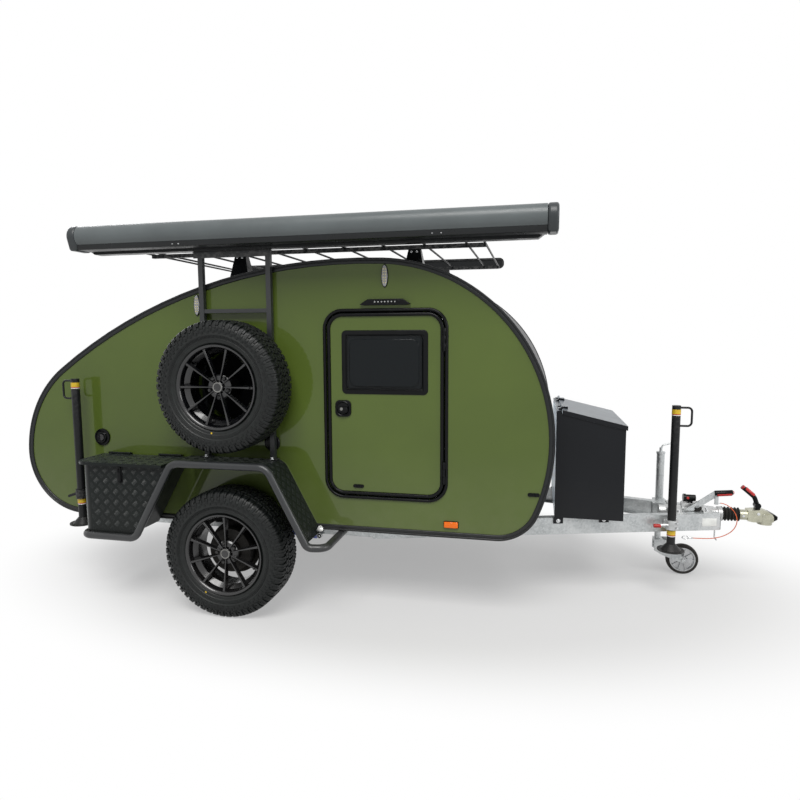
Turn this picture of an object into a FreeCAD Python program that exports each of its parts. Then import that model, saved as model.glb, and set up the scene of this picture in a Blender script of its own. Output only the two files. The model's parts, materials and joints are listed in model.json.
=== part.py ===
"""Two-berth off-road teardrop trailer with rear galley, side boxes, front box and A-frame drawbar.

Millimetres. While it is modelled, x = 0 is the axle line, +x points to the coupling, +y to the
trailer's left, +z up, and z = 0 is the ground. Side pieces are modelled on the left side and
mirrored to the right. On export everything moves back by `mid_length`, so that the origin is on
the ground under the middle of the overall length.
"""
import FreeCAD, Part
import math
import os
from collections import namedtuple

Vec = FreeCAD.Vector
X_AXIS, Y_AXIS, Z_AXIS = Vec(1, 0, 0), Vec(0, 1, 0), Vec(0, 0, 1)

# ---------------------------------------------------------------- driving dimensions
# Side outline of the body: a flat sill, then tangent arcs counter-clockwise from its front end.
# The last arc closes the loop, so its radius and turn are worked out.
SILL_Z = 470.0
SILL_FRONT_X = 1477.0
Arc = namedtuple("Arc", "radius turn")
OUTLINE_ARCS = (
    Arc(240.0, 67.0),      # front lower corner
    Arc(998.0, 49.7),      # front
    Arc(958.0, 60.3),      # front of the roof
    Arc(3200.0, 38.9),     # long slope of the roof
    Arc(668.0, 51.7),      # tail
)

BODY_HALF_WIDTH = 762.0    # to the outer faces of the side walls
WALL = 30.0                # sandwich panel
SKIN_INSET = 6.0           # panels lie this far inside the edge trim's outline
TRIM_BAND = 33.0           # width of the edge trim on the side
TRIM_PROUD = 8.0
FLOOR_Z = 500.0            # underside of the floor, top of the chassis

DOOR_X = (522.0, 1219.0)   # outside of the door's fixed frame
DOOR_Z = (661.0, 1714.0)
DOOR_CORNER = 110.0
DOOR_FRAME_BAND = 18.0
DOOR_MOULDING_BAND = 20.0
DOOR_MOULDING_PROUD = 12.0
DOOR_LOCK = (634.0, 1168.0)
DOOR_HINGE_Z = (830.0, 1545.0)

WINDOW_X = (629.0, 1110.0)
WINDOW_Z = (1249.0, 1597.0)
WINDOW_CORNER = 26.0
WINDOW_FLANGE = 24.0

RUN_GAP = 5.0              # between a moving piece and its surroundings
SEAT_GAP = 0.3             # between a moving piece and the seat it rests on
PIN_PLAY = 0.05            # radial, between a pin and its bore

HATCH_HINGE_X = -600.0
HATCH_BOTTOM_Z = 640.0

TYRE_R = 362.0             # 225/65 R17
TYRE_HALF_WIDTH = 112.5
TYRE_WALL = 12.0
RIM_R = 230.0
RIM_HALF_WIDTH = 100.0
SPOKES = 10
TRACK_HALF = 900.0
STUB_R = 20.0
DRUM_R = 125.0
HUB_FACE = 40.0            # mounting face of the rim, outboard of the tyre's middle plane
HUB_R = 70.0
BOLT_R = 56.0              # circle of the wheel bolts

BEAM_H = 100.0             # drawbar beams
BEAM_W = 50.0
BEAM_STEEL = 4.0
BEAM_REAR = (771.0, 669.0) # outer face of the drawbar beam at its rear end
BEAM_FRONT = (2765.0, 82.0)
RAIL_Y = 640.0             # chassis rails
RAIL_W = 45.0
RAIL_REAR_X = -1180.0

FENDER_OUT_Y = 1040.0      # outermost face of the guard rails
PIPE_R = 21.0
PIPE_BEND = 75.0
PLATE = 4.0                # sheet thickness of mudguards and boxes

BOX_REAR_X = -885.0
BOX_OUT_Y = 1005.0
BOX_IN_Y = BODY_HALF_WIDTH + TRIM_PROUD
BOX_BOTTOM_Z = 455.0
BOX_TOP_Z = 844.0
BOX_CORNER = 65.0
LID_T = 17.0
LID_REAR_X = -900.0
LID_FRONT_X = -335.0
LID_OUT_Y = 1036.0

SPARE_X, SPARE_Z = 5.0, 1295.0
SPARE_MID_Y = 927.0
LADDER_X = (-187.0, 223.0)
LADDER_Y = 790.0
LADDER_TUBE = 28.0
LADDER_TOP_Z = 2004.0
LADDER_RUNG_Z = 1709.0
LADDER_HEAD_T = 5.0
CARRIER_R = 190.0          # round plate behind the spare wheel

AWNING_X = (-885.0, 1764.0)
AWNING_BACK_Y = 868.0
AWNING_FRONT_Y = 1002.0
AWNING_BOTTOM_Z = 2048.0
AWNING_TOP_Z = 2181.0
AWNING_CAP = 52.0
AWNING_RAIL_X = (-845.0, 1702.0)
AWNING_RAIL_Z = (2036.0, 2076.0)

RACK_X = (-678.0, 1425.0)
RACK_HALF_Y = 680.0
RACK_ROD_Z = 2068.0
RACK_RAIL_H = 78.0
RACK_RAIL_T = 14.0
RACK_ROD_R = 6.0
RACK_ROD_PITCH = 232.0
RACK_FOOT_X = (-52.0, 1000.0)

FRONT_BOX_X = (1792.0, 2175.0)
FRONT_BOX_HALF_Y = 370.0
FRONT_BOX_BOTTOM_Z = 503.0
FRONT_BOX_FRONT_Z = 1030.0
FRONT_BOX_REAR_Z = 1134.0
FRONT_LID_X = (1826.0, 2184.0)
FRONT_LID_T = 26.0

LEG_R = 24.0
LEG_FOOT_R = 75.0
REAR_LEG_X, REAR_LEG_Y = -1012.0, 850.0
REAR_LEG_Z = (437.0, 1320.0)
REAR_CLAMP_Z = 622.0
FRONT_LEG_X, FRONT_LEG_Y = 2466.0, -213.0
FRONT_LEG_Z = (300.0, 1160.0)
FRONT_CLAMP_Z = 456.0

JOCKEY_X, JOCKEY_Y = 2475.0, 225.0
JOCKEY_R = 100.0
JOCKEY_TRAIL = 155.0
JOCKEY_TUBE_R = 24.0
JOCKEY_INNER_R = 19.0
JOCKEY_TUBE_Z = (395.0, 800.0)
JOCKEY_INNER_TOP_Z = 590.0   # at rest; it runs up 0.17 m inside the outer tube
JOCKEY_CROWN_Z = (212.0, 230.0)
JOCKEY_PIVOT_R = 10.0
JOCKEY_PIVOT_L = 60.0

SHAFT_Z = 480.0            # centre of the overrun shaft
BALL_X = 3030.0            # centre of the coupling ball
BALL_Z = 455.0
BALL_R = 25.0
COUPLING_TIP_X = 3091.0


# ---------------------------------------------------------------- helpers
def box(x, y, z):
    """A box from three (low, high) ranges."""
    size = [high - low for low, high in (x, y, z)]
    return Part.makeBox(size[0], size[1], size[2], Vec(x[0], y[0], z[0]))


def rod(start, end, radius):
    """A round bar from one point to another."""
    start, end = Vec(*start), Vec(*end)
    return Part.makeCylinder(radius, (end - start).Length, start, end - start)


def fuse(shapes):
    """One shape out of several that touch or overlap."""
    shapes = list(shapes)
    joined = shapes[0].multiFuse(shapes[1:]) if len(shapes) > 1 else shapes[0]
    return joined.removeSplitter()


def cut(shape, tools):
    return shape.cut(list(tools))


def mirror(shape):
    """The same piece on the trailer's other side."""
    return shape.mirror(Vec(0, 0, 0), Y_AXIS)


def both_sides(shape):
    return Part.makeCompound([shape, mirror(shape)])


def prism_y(points, y):
    """A polygon of (x, z) points drawn out from y[0] to y[1]."""
    corners = [Vec(px, y[0], pz) for px, pz in points]
    face = Part.Face(Part.makePolygon(corners + corners[:1]))
    return face.extrude(Vec(0, y[1] - y[0], 0))


def prism_x(points, x):
    """A polygon of (y, z) points drawn out from x[0] to x[1]."""
    corners = [Vec(x[0], py, pz) for py, pz in points]
    face = Part.Face(Part.makePolygon(corners + corners[:1]))
    return face.extrude(Vec(x[1] - x[0], 0, 0))


def prism_z(points, z):
    """A polygon of (x, y) points drawn out from z[0] to z[1]."""
    corners = [Vec(px, py, z[0]) for px, py in points]
    face = Part.Face(Part.makePolygon(corners + corners[:1]))
    return face.extrude(Vec(0, 0, z[1] - z[0]))


def rounded_panel(x, z, corner, y):
    """A rectangle in the side view with rounded corners, drawn out from y[0] to y[1]."""
    panel = box(x, y, z)
    upright = [e for e in panel.Edges if abs(e.tangentAt(e.FirstParameter).y) > 0.9]
    return panel.makeFillet(corner, upright)


def grow(span, amount):
    return (span[0] - amount, span[1] + amount)


def panel_ring(x, z, corner, inset, y):
    """A frame between two insets of one rounded rectangle."""
    outer = rounded_panel(grow(x, -inset[0]), grow(z, -inset[0]), corner - inset[0], y)
    inner = rounded_panel(grow(x, -inset[1]), grow(z, -inset[1]), max(corner - inset[1], 3.0), grow(y, 1.0))
    return outer.cut(inner)


def fillet_path(points, bend):
    """Straight runs joined by tangent arcs of radius `bend`, which may be one number a corner."""
    points = [Vec(*p) for p in points]
    corners = len(points) - 2
    bends = list(bend) if isinstance(bend, (list, tuple)) else [bend] * corners
    edges, at = [], points[0]
    for before, corner, after, radius in zip(points, points[1:], points[2:], bends):
        back = (before - corner).normalize()
        ahead = (after - corner).normalize()
        half_turn = (math.pi - back.getAngle(ahead)) / 2
        reach = radius * math.tan(half_turn)
        start, end = corner + back * reach, corner + ahead * reach
        bisector = (back + ahead).normalize()
        centre = corner + bisector * (radius / math.cos(half_turn))
        middle = centre - bisector * radius
        edges.append(Part.makeLine(at, start))
        edges.append(Part.Arc(start, middle, end).toShape())
        at = end
    edges.append(Part.makeLine(at, points[-1]))
    return Part.Wire(edges)


def bent_tube(points, radius, bend):
    """A round bar along a path of straight runs and tangent arcs."""
    path = fillet_path(points, bend)
    start = path.Edges[0].Vertexes[0].Point
    section = Part.Wire(Part.makeCircle(radius, start, path.Edges[0].tangentAt(0)))
    return path.makePipeShell([section], True, False)


def knuckles(centre, axis, barrel, pin_r, barrel_r):
    """One hinge: two fixed barrels on a pin, and the moving barrel between them."""
    centre, axis = Vec(*centre), Vec(*axis)
    gap = 0.5

    def along(low, high, radius):
        return Part.makeCylinder(radius, high - low, centre + axis * low, axis)

    half = barrel / 2
    fixed = fuse([along(-3 * half, -half - gap, barrel_r), along(half + gap, 3 * half, barrel_r),
                  along(-3 * half, 3 * half, pin_r)])
    moving = along(-half, half, barrel_r).cut(along(-half - 1, half + 1, pin_r + PIN_PLAY))
    bore = along(-half - 1, half + 1, pin_r + PIN_PLAY)
    return fixed, moving, bore


# ---------------------------------------------------------------- side outline
def outline_arcs():
    """(centre x, centre z, radius, first heading, last heading) of each arc, last one closing."""
    x, z, heading, arcs = SILL_FRONT_X, SILL_Z, 0.0, []
    closing = Arc(None, 360.0 - sum(arc.turn for arc in OUTLINE_ARCS))
    for arc in OUTLINE_ARCS + (closing,):
        after = heading + math.radians(arc.turn)
        radius = arc.radius or (SILL_Z - z) / (math.cos(heading) - math.cos(after))
        cx, cz = x - radius * math.sin(heading), z + radius * math.cos(heading)
        arcs.append((cx, cz, radius, heading, after))
        x, z, heading = cx + radius * math.sin(after), cz - radius * math.cos(after), after
    return arcs


ARCS = outline_arcs()
TAIL_X = ARCS[-1][0] - ARCS[-1][2]


def outline_slab(inset, y):
    """The body's side outline, moved inwards by `inset` and drawn out from y[0] to y[1]."""
    edges = []
    for cx, cz, radius, first, last in ARCS:
        r = radius - inset
        ends = [Vec(cx + r * math.sin(a), y[0], cz - r * math.cos(a)) for a in
                (first, (first + last) / 2, last)]
        edges.append(Part.Arc(*ends).toShape())
    sill = Part.makeLine(edges[-1].Vertexes[-1].Point, edges[0].Vertexes[0].Point)
    return Part.Face(Part.Wire(edges + [sill])).extrude(Vec(0, y[1] - y[0], 0))


def roof_height(x, inset):
    """Height of the outline above a place on the long roof slope or the roof's front."""
    for cx, cz, radius, first, last in ARCS[2:4]:
        r = radius - inset
        if cx + r * math.sin(last) <= x <= cx + r * math.sin(first):
            return cz + math.sqrt(r * r - (x - cx) ** 2)
    raise ValueError("x lies beyond the roof")


# ---------------------------------------------------------------- cabin
SHELL_HALF_Y = BODY_HALF_WIDTH - WALL
FAR = 4000.0


def side_wall():
    panel = outline_slab(SKIN_INSET, (SHELL_HALF_Y, BODY_HALF_WIDTH))
    doorway = rounded_panel(grow(DOOR_X, -DOOR_FRAME_BAND), grow(DOOR_Z, -DOOR_FRAME_BAND),
                            DOOR_CORNER - DOOR_FRAME_BAND, grow((SHELL_HALF_Y, BODY_HALF_WIDTH), 1))
    return panel.cut(doorway)


def edge_trim():
    """An angle profile that caps the side wall's edge all round."""
    outer_y = BODY_HALF_WIDTH + TRIM_PROUD
    cap = outline_slab(0, (SHELL_HALF_Y + 1, outer_y))
    cap = cap.cut(outline_slab(SKIN_INSET, (SHELL_HALF_Y, BODY_HALF_WIDTH)))
    return cap.cut(outline_slab(TRIM_BAND, (BODY_HALF_WIDTH - 1, outer_y + 1)))


def skin(half_y, keep):
    """A length of the curved sandwich skin between the side walls, kept where `keep` says."""
    ring = outline_slab(SKIN_INSET, (-half_y, half_y))
    ring = ring.cut(outline_slab(SKIN_INSET + WALL, (-half_y - 1, half_y + 1)))
    return ring.common(keep)


def roof_shell():
    return skin(SHELL_HALF_Y, box((HATCH_HINGE_X, FAR), (-FAR, FAR), (FLOOR_Z, FAR)))


def rear_valance():
    top = HATCH_BOTTOM_Z - RUN_GAP
    return skin(SHELL_HALF_Y, box((-FAR, -900), (-FAR, FAR), (FLOOR_Z, top)))


def cabin_floor():
    inside = outline_slab(SKIN_INSET + WALL, (-SHELL_HALF_Y, SHELL_HALF_Y))
    return inside.common(box((-FAR, FAR), (-FAR, FAR), (FLOOR_Z, FLOOR_Z + WALL)))


GALLEY_X = HATCH_HINGE_X - 30.0
BOARD = 18.0
COUNTER_Z = 985.0


def galley_unit():
    """Bulkhead between cabin and galley, with counter, cupboard boards and a high shelf."""
    inside = outline_slab(SKIN_INSET + WALL, (-SHELL_HALF_Y, SHELL_HALF_Y))
    clear_of_hatch = outline_slab(SKIN_INSET + WALL + 25.0, (-SHELL_HALF_Y, SHELL_HALF_Y))
    front = GALLEY_X + BOARD
    floor_top = FLOOR_Z + WALL
    bulkhead = inside.common(box((GALLEY_X, front), (-FAR, FAR), (floor_top, FAR)))
    bulkhead = bulkhead.common(box((GALLEY_X, front), (-FAR, FAR), (0, roof_height(front, 0) - 60)))
    counter = box((-FAR, front), (-SHELL_HALF_Y, SHELL_HALF_Y), (COUNTER_Z - 25, COUNTER_Z))
    shelf = box((-1000, front), (-SHELL_HALF_Y, SHELL_HALF_Y), (1330 - BOARD, 1330))
    uprights = [box((-FAR, front), (y - BOARD / 2, y + BOARD / 2), (floor_top, COUNTER_Z - 10))
                for y in (-SHELL_HALF_Y + BOARD / 2, -250, 250, SHELL_HALF_Y - BOARD / 2)]
    boards = [clear_of_hatch.common(board) for board in [counter, shelf] + uprights]
    return fuse([bulkhead] + boards)


def mattress():
    pad = box((GALLEY_X + BOARD + 10, 1590), (-SHELL_HALF_Y + 12, SHELL_HALF_Y - 12),
              (FLOOR_Z + WALL, FLOOR_Z + WALL + 110))
    upright = [e for e in pad.Edges if abs(e.tangentAt(0).z) > 0.9]
    pad = pad.makeFillet(60, upright)
    return pad.common(outline_slab(SKIN_INSET + WALL + 12, (-SHELL_HALF_Y, SHELL_HALF_Y)))


# ---------------------------------------------------------------- doors
HINGE_PIN_R = 4.0
HINGE_BARREL_R = 8.0
DOOR_LEAF_INSET = DOOR_FRAME_BAND + RUN_GAP
DOOR_HINGE_X = DOOR_X[1] - DOOR_FRAME_BAND - RUN_GAP / 2
DOOR_HINGE_Y = BODY_HALF_WIDTH + DOOR_MOULDING_PROUD + 4.0
DOOR_HINGE_BARREL = 40.0


def door_hinges():
    return [knuckles((DOOR_HINGE_X, DOOR_HINGE_Y, z), (0, 0, 1), DOOR_HINGE_BARREL, HINGE_PIN_R,
                     HINGE_BARREL_R) for z in DOOR_HINGE_Z]


def door_hinge_room(z):
    """Space in the frame and moulding for the hinge barrels."""
    half = 1.5 * DOOR_HINGE_BARREL + 1
    return Part.makeCylinder(HINGE_BARREL_R + 1.5, 2 * half, Vec(DOOR_HINGE_X, DOOR_HINGE_Y, z - half))


def door_frame():
    face = (BODY_HALF_WIDTH, BODY_HALF_WIDTH + DOOR_MOULDING_PROUD)
    frame = panel_ring(DOOR_X, DOOR_Z, DOOR_CORNER, (0, DOOR_FRAME_BAND), face)
    leaves = []
    half = DOOR_HINGE_BARREL / 2
    for (fixed, _, _), z in zip(door_hinges(), DOOR_HINGE_Z):
        frame = frame.cut(door_hinge_room(z))
        for low, high in ((-3 * half, -half - 0.5), (half + 0.5, 3 * half)):
            leaves.append(box((DOOR_HINGE_X, DOOR_X[1] - 6), (DOOR_HINGE_Y - HINGE_BARREL_R,
                          DOOR_HINGE_Y - 2), (z + low, z + high)))
        leaves.append(fixed)
    return fuse([frame] + leaves)


def door_panel():
    leaf = rounded_panel(grow(DOOR_X, -DOOR_LEAF_INSET), grow(DOOR_Z, -DOOR_LEAF_INSET),
                         DOOR_CORNER - DOOR_LEAF_INSET, (SHELL_HALF_Y, BODY_HALF_WIDTH))
    opening = rounded_panel(grow(WINDOW_X, -WINDOW_FLANGE), grow(WINDOW_Z, -WINDOW_FLANGE),
                            WINDOW_CORNER, grow((SHELL_HALF_Y, BODY_HALF_WIDTH), 1))
    return leaf.cut(opening)


def door_moulding():
    face = (BODY_HALF_WIDTH, BODY_HALF_WIDTH + DOOR_MOULDING_PROUD)
    band = (DOOR_LEAF_INSET, DOOR_LEAF_INSET + DOOR_MOULDING_BAND)
    ring = panel_ring(DOOR_X, DOOR_Z, DOOR_CORNER, band, face)
    edge = DOOR_X[1] - DOOR_LEAF_INSET
    half = DOOR_HINGE_BARREL / 2
    pieces = []
    for (_, moving, bore), z in zip(door_hinges(), DOOR_HINGE_Z):
        ring = ring.cut(door_hinge_room(z))
        arm = box((edge - 13, DOOR_HINGE_X), (DOOR_HINGE_Y - HINGE_BARREL_R, DOOR_HINGE_Y - 2),
                  (z - half, z + half))
        pieces += [moving, arm.cut(bore)]
    return fuse([ring] + pieces)


WINDOW_PROUD = 16.0
PANE_INSET = WINDOW_FLANGE + 6.0


def window_frame():
    """Flange on the leaf and lining through it."""
    face = (BODY_HALF_WIDTH, BODY_HALF_WIDTH + WINDOW_PROUD)
    flange = panel_ring(WINDOW_X, WINDOW_Z, WINDOW_CORNER, (0, PANE_INSET), face)
    lining = panel_ring(WINDOW_X, WINDOW_Z, WINDOW_CORNER + WINDOW_FLANGE,
                        (WINDOW_FLANGE, WINDOW_FLANGE + 14), (SHELL_HALF_Y - 4, BODY_HALF_WIDTH + 6))
    return fuse([flange, lining])


def window_pane():
    y = BODY_HALF_WIDTH + 6.0
    pane = rounded_panel(grow(WINDOW_X, -PANE_INSET - 1), grow(WINDOW_Z, -PANE_INSET - 1), 20.0,
                         (y, y + 14))
    front = [e for e in pane.Edges if all(abs(v.Point.y - y - 14) < 1e-6 for v in e.Vertexes)]
    return pane.makeChamfer(7, front)


def door_lock():
    x, z = DOOR_LOCK
    y = BODY_HALF_WIDTH
    plate = rounded_panel((x - 46, x + 46), (z - 46, z + 46), 22.0, (y, y + 9))
    boss = Part.makeCylinder(34, 8, Vec(x, y + 9, z), Y_AXIS)
    dish = Part.makeCylinder(26, 12, Vec(x, y + 11, z), Y_AXIS)
    paddle = box((x - 9, x + 24), (y + 9, y + 21), (z - 12, z + 12))
    return fuse([plate, boss.cut(dish), paddle])


# ---------------------------------------------------------------- rear hatch
HATCH_HINGE = (HATCH_HINGE_X - RUN_GAP / 2, roof_height(HATCH_HINGE_X, SKIN_INSET) + 6.0)
HATCH_HINGE_Y = (-560.0, 0.0, 560.0)
HATCH_BARREL = 60.0


def hatch_hinges():
    return [knuckles((HATCH_HINGE[0], y, HATCH_HINGE[1]), (0, 1, 0), HATCH_BARREL, HINGE_PIN_R,
                     HINGE_BARREL_R) for y in HATCH_HINGE_Y]


def hatch_hinge_room():
    x, z = HATCH_HINGE
    half = 1.5 * HATCH_BARREL + 1
    return [Part.makeCylinder(HINGE_BARREL_R + 1.5, 2 * half, Vec(x, y - half, z), Y_AXIS)
            for y in HATCH_HINGE_Y]


def hinge_leaf(x, y, inset):
    """A thin hinge leaf that follows the roof skin."""
    strip = outline_slab(-inset, y).cut(outline_slab(SKIN_INSET, grow(y, 1)))
    return strip.common(box(x, grow(y, 1), (1500, FAR)))


def rear_hatch():
    keep = box((-FAR, HATCH_HINGE_X - RUN_GAP), (-FAR, FAR), (HATCH_BOTTOM_Z, FAR))
    panel = skin(SHELL_HALF_Y - RUN_GAP, keep).cut(hatch_hinge_room())
    pieces = [panel]
    half = HATCH_BARREL / 2
    for (_, moving, bore), y in zip(hatch_hinges(), HATCH_HINGE_Y):
        leaf = hinge_leaf((HATCH_HINGE[0] - 48, HATCH_HINGE[0]), (y - half, y + half), -2)
        pieces += [moving, leaf.cut(bore)]
    return fuse(pieces)


def roof_hinge_parts():
    pieces = []
    half = HATCH_BARREL / 2
    for (fixed, _, _), y in zip(hatch_hinges(), HATCH_HINGE_Y):
        pieces.append(fixed)
        for low, high in ((-3 * half, -half - 0.5), (half + 0.5, 3 * half)):
            pieces.append(hinge_leaf((HATCH_HINGE[0], HATCH_HINGE[0] + 48), (y + low, y + high), -2))
    return pieces


# ---------------------------------------------------------------- chassis
def beam_plan():
    """Plan of the left drawbar beam, from its rear end to its square front end."""
    rear, front = Vec(BEAM_REAR[0], BEAM_REAR[1], 0), Vec(BEAM_FRONT[0], BEAM_FRONT[1], 0)
    along = (front - rear).normalize()
    inward = Vec(along.y, -along.x, 0)
    corners = [rear, front, front + inward * BEAM_W, rear + inward * BEAM_W]
    return [(c.x, c.y) for c in corners]


def beam_outer_y(x):
    """Outer face of the left drawbar beam at a place along the trailer."""
    slope = (BEAM_FRONT[1] - BEAM_REAR[1]) / (BEAM_FRONT[0] - BEAM_REAR[0])
    return BEAM_REAR[1] + slope * (x - BEAM_REAR[0])


BEAM_BOTTOM_Z = FLOOR_Z - BEAM_H
GUIDE_R = 4.0
GUIDE_REACH = 30.0          # from the cable in to the hook's stem under the beam
CABLE_GUIDE = (2735.0, -114.0, 352.0)   # hook that the breakaway cable lies in
CROSS_MEMBER_X = (-1170.0, -260.0, 330.0, 1150.0)
CLAMP_BLOCK_X = (JOCKEY_X - 60.0, JOCKEY_X + 36.0)   # fills the left beam behind the jockey's clamp
CLAMP_BLOCK_DEPTH = 62.0


def chassis_frame():
    """Galvanised frame: two rails, cross members and the two beams of the drawbar."""
    steel = BEAM_STEEL
    beams, rails = [], []
    plan = beam_plan()
    solid = prism_z(plan, (BEAM_BOTTOM_Z, FLOOR_Z))
    inner = [(x, beam_outer_y(x) - inset) for x, inset in
             ((BEAM_REAR[0] - 40, steel), (BEAM_FRONT[0] + 40, steel),
              (BEAM_FRONT[0] + 40, BEAM_W + 30), (BEAM_REAR[0] - 40, BEAM_W + 30))]
    channel = solid.cut(prism_z(inner, (BEAM_BOTTOM_Z + steel, FLOOR_Z - steel)))
    end_cap = box((BEAM_FRONT[0] - 6, BEAM_FRONT[0]), (BEAM_FRONT[1] - 60, BEAM_FRONT[1]),
                  (BEAM_BOTTOM_Z, FLOOR_Z)).common(solid)
    beams.append(fuse([channel, end_cap]))
    low_y = beam_outer_y(CLAMP_BLOCK_X[1]) - CLAMP_BLOCK_DEPTH
    clamp_block = box(CLAMP_BLOCK_X, (low_y, beam_outer_y(CLAMP_BLOCK_X[1]) - 1),
                      (BEAM_BOTTOM_Z + 2, FLOOR_Z - 2))
    rail = box((RAIL_REAR_X, BEAM_REAR[0] + 60), (RAIL_Y - RAIL_W, RAIL_Y), (BEAM_BOTTOM_Z, FLOOR_Z))
    hollow = box((RAIL_REAR_X - 1, BEAM_REAR[0] + 61), (RAIL_Y - RAIL_W - 1, RAIL_Y - steel),
                 (BEAM_BOTTOM_Z + steel, FLOOR_Z - steel))
    rails.append(rail.cut(hollow))
    crosses = [box((x, x + 50), (-RAIL_Y + steel, RAIL_Y - steel), (FLOOR_Z - 60, FLOOR_Z))
               for x in CROSS_MEMBER_X[:3]]
    width = beam_outer_y(CROSS_MEMBER_X[3] + 50) - steel
    crosses.append(box((CROSS_MEMBER_X[3], CROSS_MEMBER_X[3] + 50), (-width, width),
                       (FLOOR_Z - 60, FLOOR_Z)))
    left = fuse(beams + rails)
    x, y, z = CABLE_GUIDE
    stem_y = y + GUIDE_REACH
    guide = bent_tube([(x, stem_y, BEAM_BOTTOM_Z + 2), (x, stem_y, z), (x, y - 14, z)], GUIDE_R, 9)
    return fuse([left, mirror(left), guide, clamp_block] + crosses)


AXLE_TUBE_X = 175.0
AXLE_TUBE_Z = BEAM_BOTTOM_Z - 52.0
AXLE_TUBE_R = 42.0
DAMPER_Y = RAIL_Y + 24.0
DAMPER_Z = TYRE_R + 76.0
LUG_Y = DAMPER_Y + 22.0     # inner face of the arm's lug


def axle_beam():
    """Rubber torsion axle: tube, two trailing arms, stub axles and brake back plates."""
    tube = Part.makeCylinder(AXLE_TUBE_R, 2 * 690.0, Vec(AXLE_TUBE_X, -690, AXLE_TUBE_Z), Y_AXIS)
    seat = box((AXLE_TUBE_X - 70, AXLE_TUBE_X + 70), (RAIL_Y - RAIL_W, RAIL_Y),
               (AXLE_TUBE_Z - 10, BEAM_BOTTOM_Z))
    arm_y = (700.0, 735.0)
    big_end = Part.makeCylinder(55, arm_y[1] - arm_y[0] + 12, Vec(AXLE_TUBE_X, 688, AXLE_TUBE_Z), Y_AXIS)
    small_end = Part.makeCylinder(38, arm_y[1] - arm_y[0], Vec(0, arm_y[0], TYRE_R), Y_AXIS)
    arm = prism_y([(0, TYRE_R - 34), (AXLE_TUBE_X, AXLE_TUBE_Z - 48), (AXLE_TUBE_X, AXLE_TUBE_Z + 48),
                   (0, TYRE_R + 34)], arm_y)
    lug = prism_y([(20, TYRE_R + 20), (110, TYRE_R + 25), (95, DAMPER_Z + 16), (62, DAMPER_Z + 16)],
                  (LUG_Y, arm_y[0]))
    stub = Part.makeCylinder(STUB_R, TRACK_HALF + HUB_FACE - 2 - arm_y[0], Vec(0, arm_y[0], TYRE_R),
                             Y_AXIS)
    plate = Part.makeCylinder(DRUM_R - 4, 6, Vec(0, TRACK_HALF - 70, TYRE_R), Y_AXIS)
    carrier = Part.makeCylinder(34, TRACK_HALF - 70 - arm_y[0], Vec(0, arm_y[0], TYRE_R), Y_AXIS)
    left = fuse([big_end, small_end, arm, lug, stub, plate, carrier, seat])
    return fuse([tube, left, mirror(left)])


def damper_line():
    """Rear eye, end of the rod, front end of the cylinder and front eye, as (x, z)."""
    return (78.0, DAMPER_Z - 4), (240.0, DAMPER_Z - 20), (430.0, DAMPER_Z - 38), (445.0, DAMPER_Z - 39.5)


def shock_absorbers():
    """A lying damper beside each rail, from the arm's lug to a bracket ahead of the axle."""
    y = DAMPER_Y
    (x0, z0), (x1, z1), (x2, z2), (x3, z3) = damper_line()
    body = rod((x1, y, z1), (x2, y, z2), 23)
    stem = rod((x0, y, z0), (x1 + 5, y, z1), 8)
    rear_eye = Part.makeCylinder(16, LUG_Y - y + 12, Vec(x0, y - 12, z0), Y_AXIS)
    front_eye = Part.makeCylinder(16, y + 15 - RAIL_Y, Vec(x3, RAIL_Y, z3), Y_AXIS)
    return both_sides(fuse([body, stem, rear_eye, front_eye]))


# ---------------------------------------------------------------- mudguards and side boxes
PIPE_Y = FENDER_OUT_Y - PIPE_R
FENDER_TOP_Z = 872.0
GUARD_PATH = ((-877.0, 430.0), (-530.0, 430.0), (-283.0, FENDER_TOP_Z), (282.0, FENDER_TOP_Z),
              (505.0, 448.0))
GUARD_END_X = 602.0
GUARD_END_Z = SILL_Z - PIPE_R - 3.0


def guard_rail():
    """Bent tube round the side box and the mudguard, turned in to the body at both ends."""
    rear_x, rear_z = GUARD_PATH[0]
    points = [(rear_x, RAIL_Y, rear_z)] + [(x, PIPE_Y, z) for x, z in GUARD_PATH]
    points += [(GUARD_END_X, PIPE_Y - 20, GUARD_END_Z), (GUARD_END_X, RAIL_Y, GUARD_END_Z)]
    return bent_tube(points, PIPE_R, [60, 60, PIPE_BEND, PIPE_BEND, 45, 60])


GUARD_TOP_Z = FENDER_TOP_Z - 4.0   # upper face of the mudguard's plate
GUARD_CORNER = (276.0, GUARD_TOP_Z)
GUARD_REAR_X = -312.0
GUARD_TOE = (492.0, 462.0)  # lower front end of the flap
GUARD_WEB = 40.0            # upright strip that bolts the plate to the wall
GUARD_WEB_X = 200.0
GUARD_BEND = 78.0           # radius of the plate's upper face at the fold


def folded_plate(rear, corner, front, bend, thick, y):
    """Sheet along two straight runs with one round fold, given by its upper face."""
    near, turn, far = [Vec(px, y[0], pz) for px, pz in (rear, corner, front)]
    back, ahead = (near - turn).normalize(), (far - turn).normalize()
    half_turn = (math.pi - back.getAngle(ahead)) / 2
    reach = bend * math.tan(half_turn)
    bisector = (back + ahead).normalize()
    centre = turn + bisector * (bend / math.cos(half_turn))
    upper = [turn + back * reach, centre - bisector * bend, turn + ahead * reach]
    lower = [centre + (p - centre) * ((bend - thick) / bend) for p in upper]
    near_low = near + Vec(0, 0, -thick)
    far_low = far + Vec(ahead.z, 0, -ahead.x) * thick
    face = Part.Face(Part.Wire([
        Part.makeLine(near, upper[0]), Part.Arc(*upper).toShape(), Part.makeLine(upper[2], far),
        Part.makeLine(far, far_low), Part.makeLine(far_low, lower[2]),
        Part.Arc(*lower[::-1]).toShape(), Part.makeLine(lower[0], near_low),
        Part.makeLine(near_low, near)]))
    return face.extrude(Vec(0, y[1] - y[0], 0))


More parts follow.
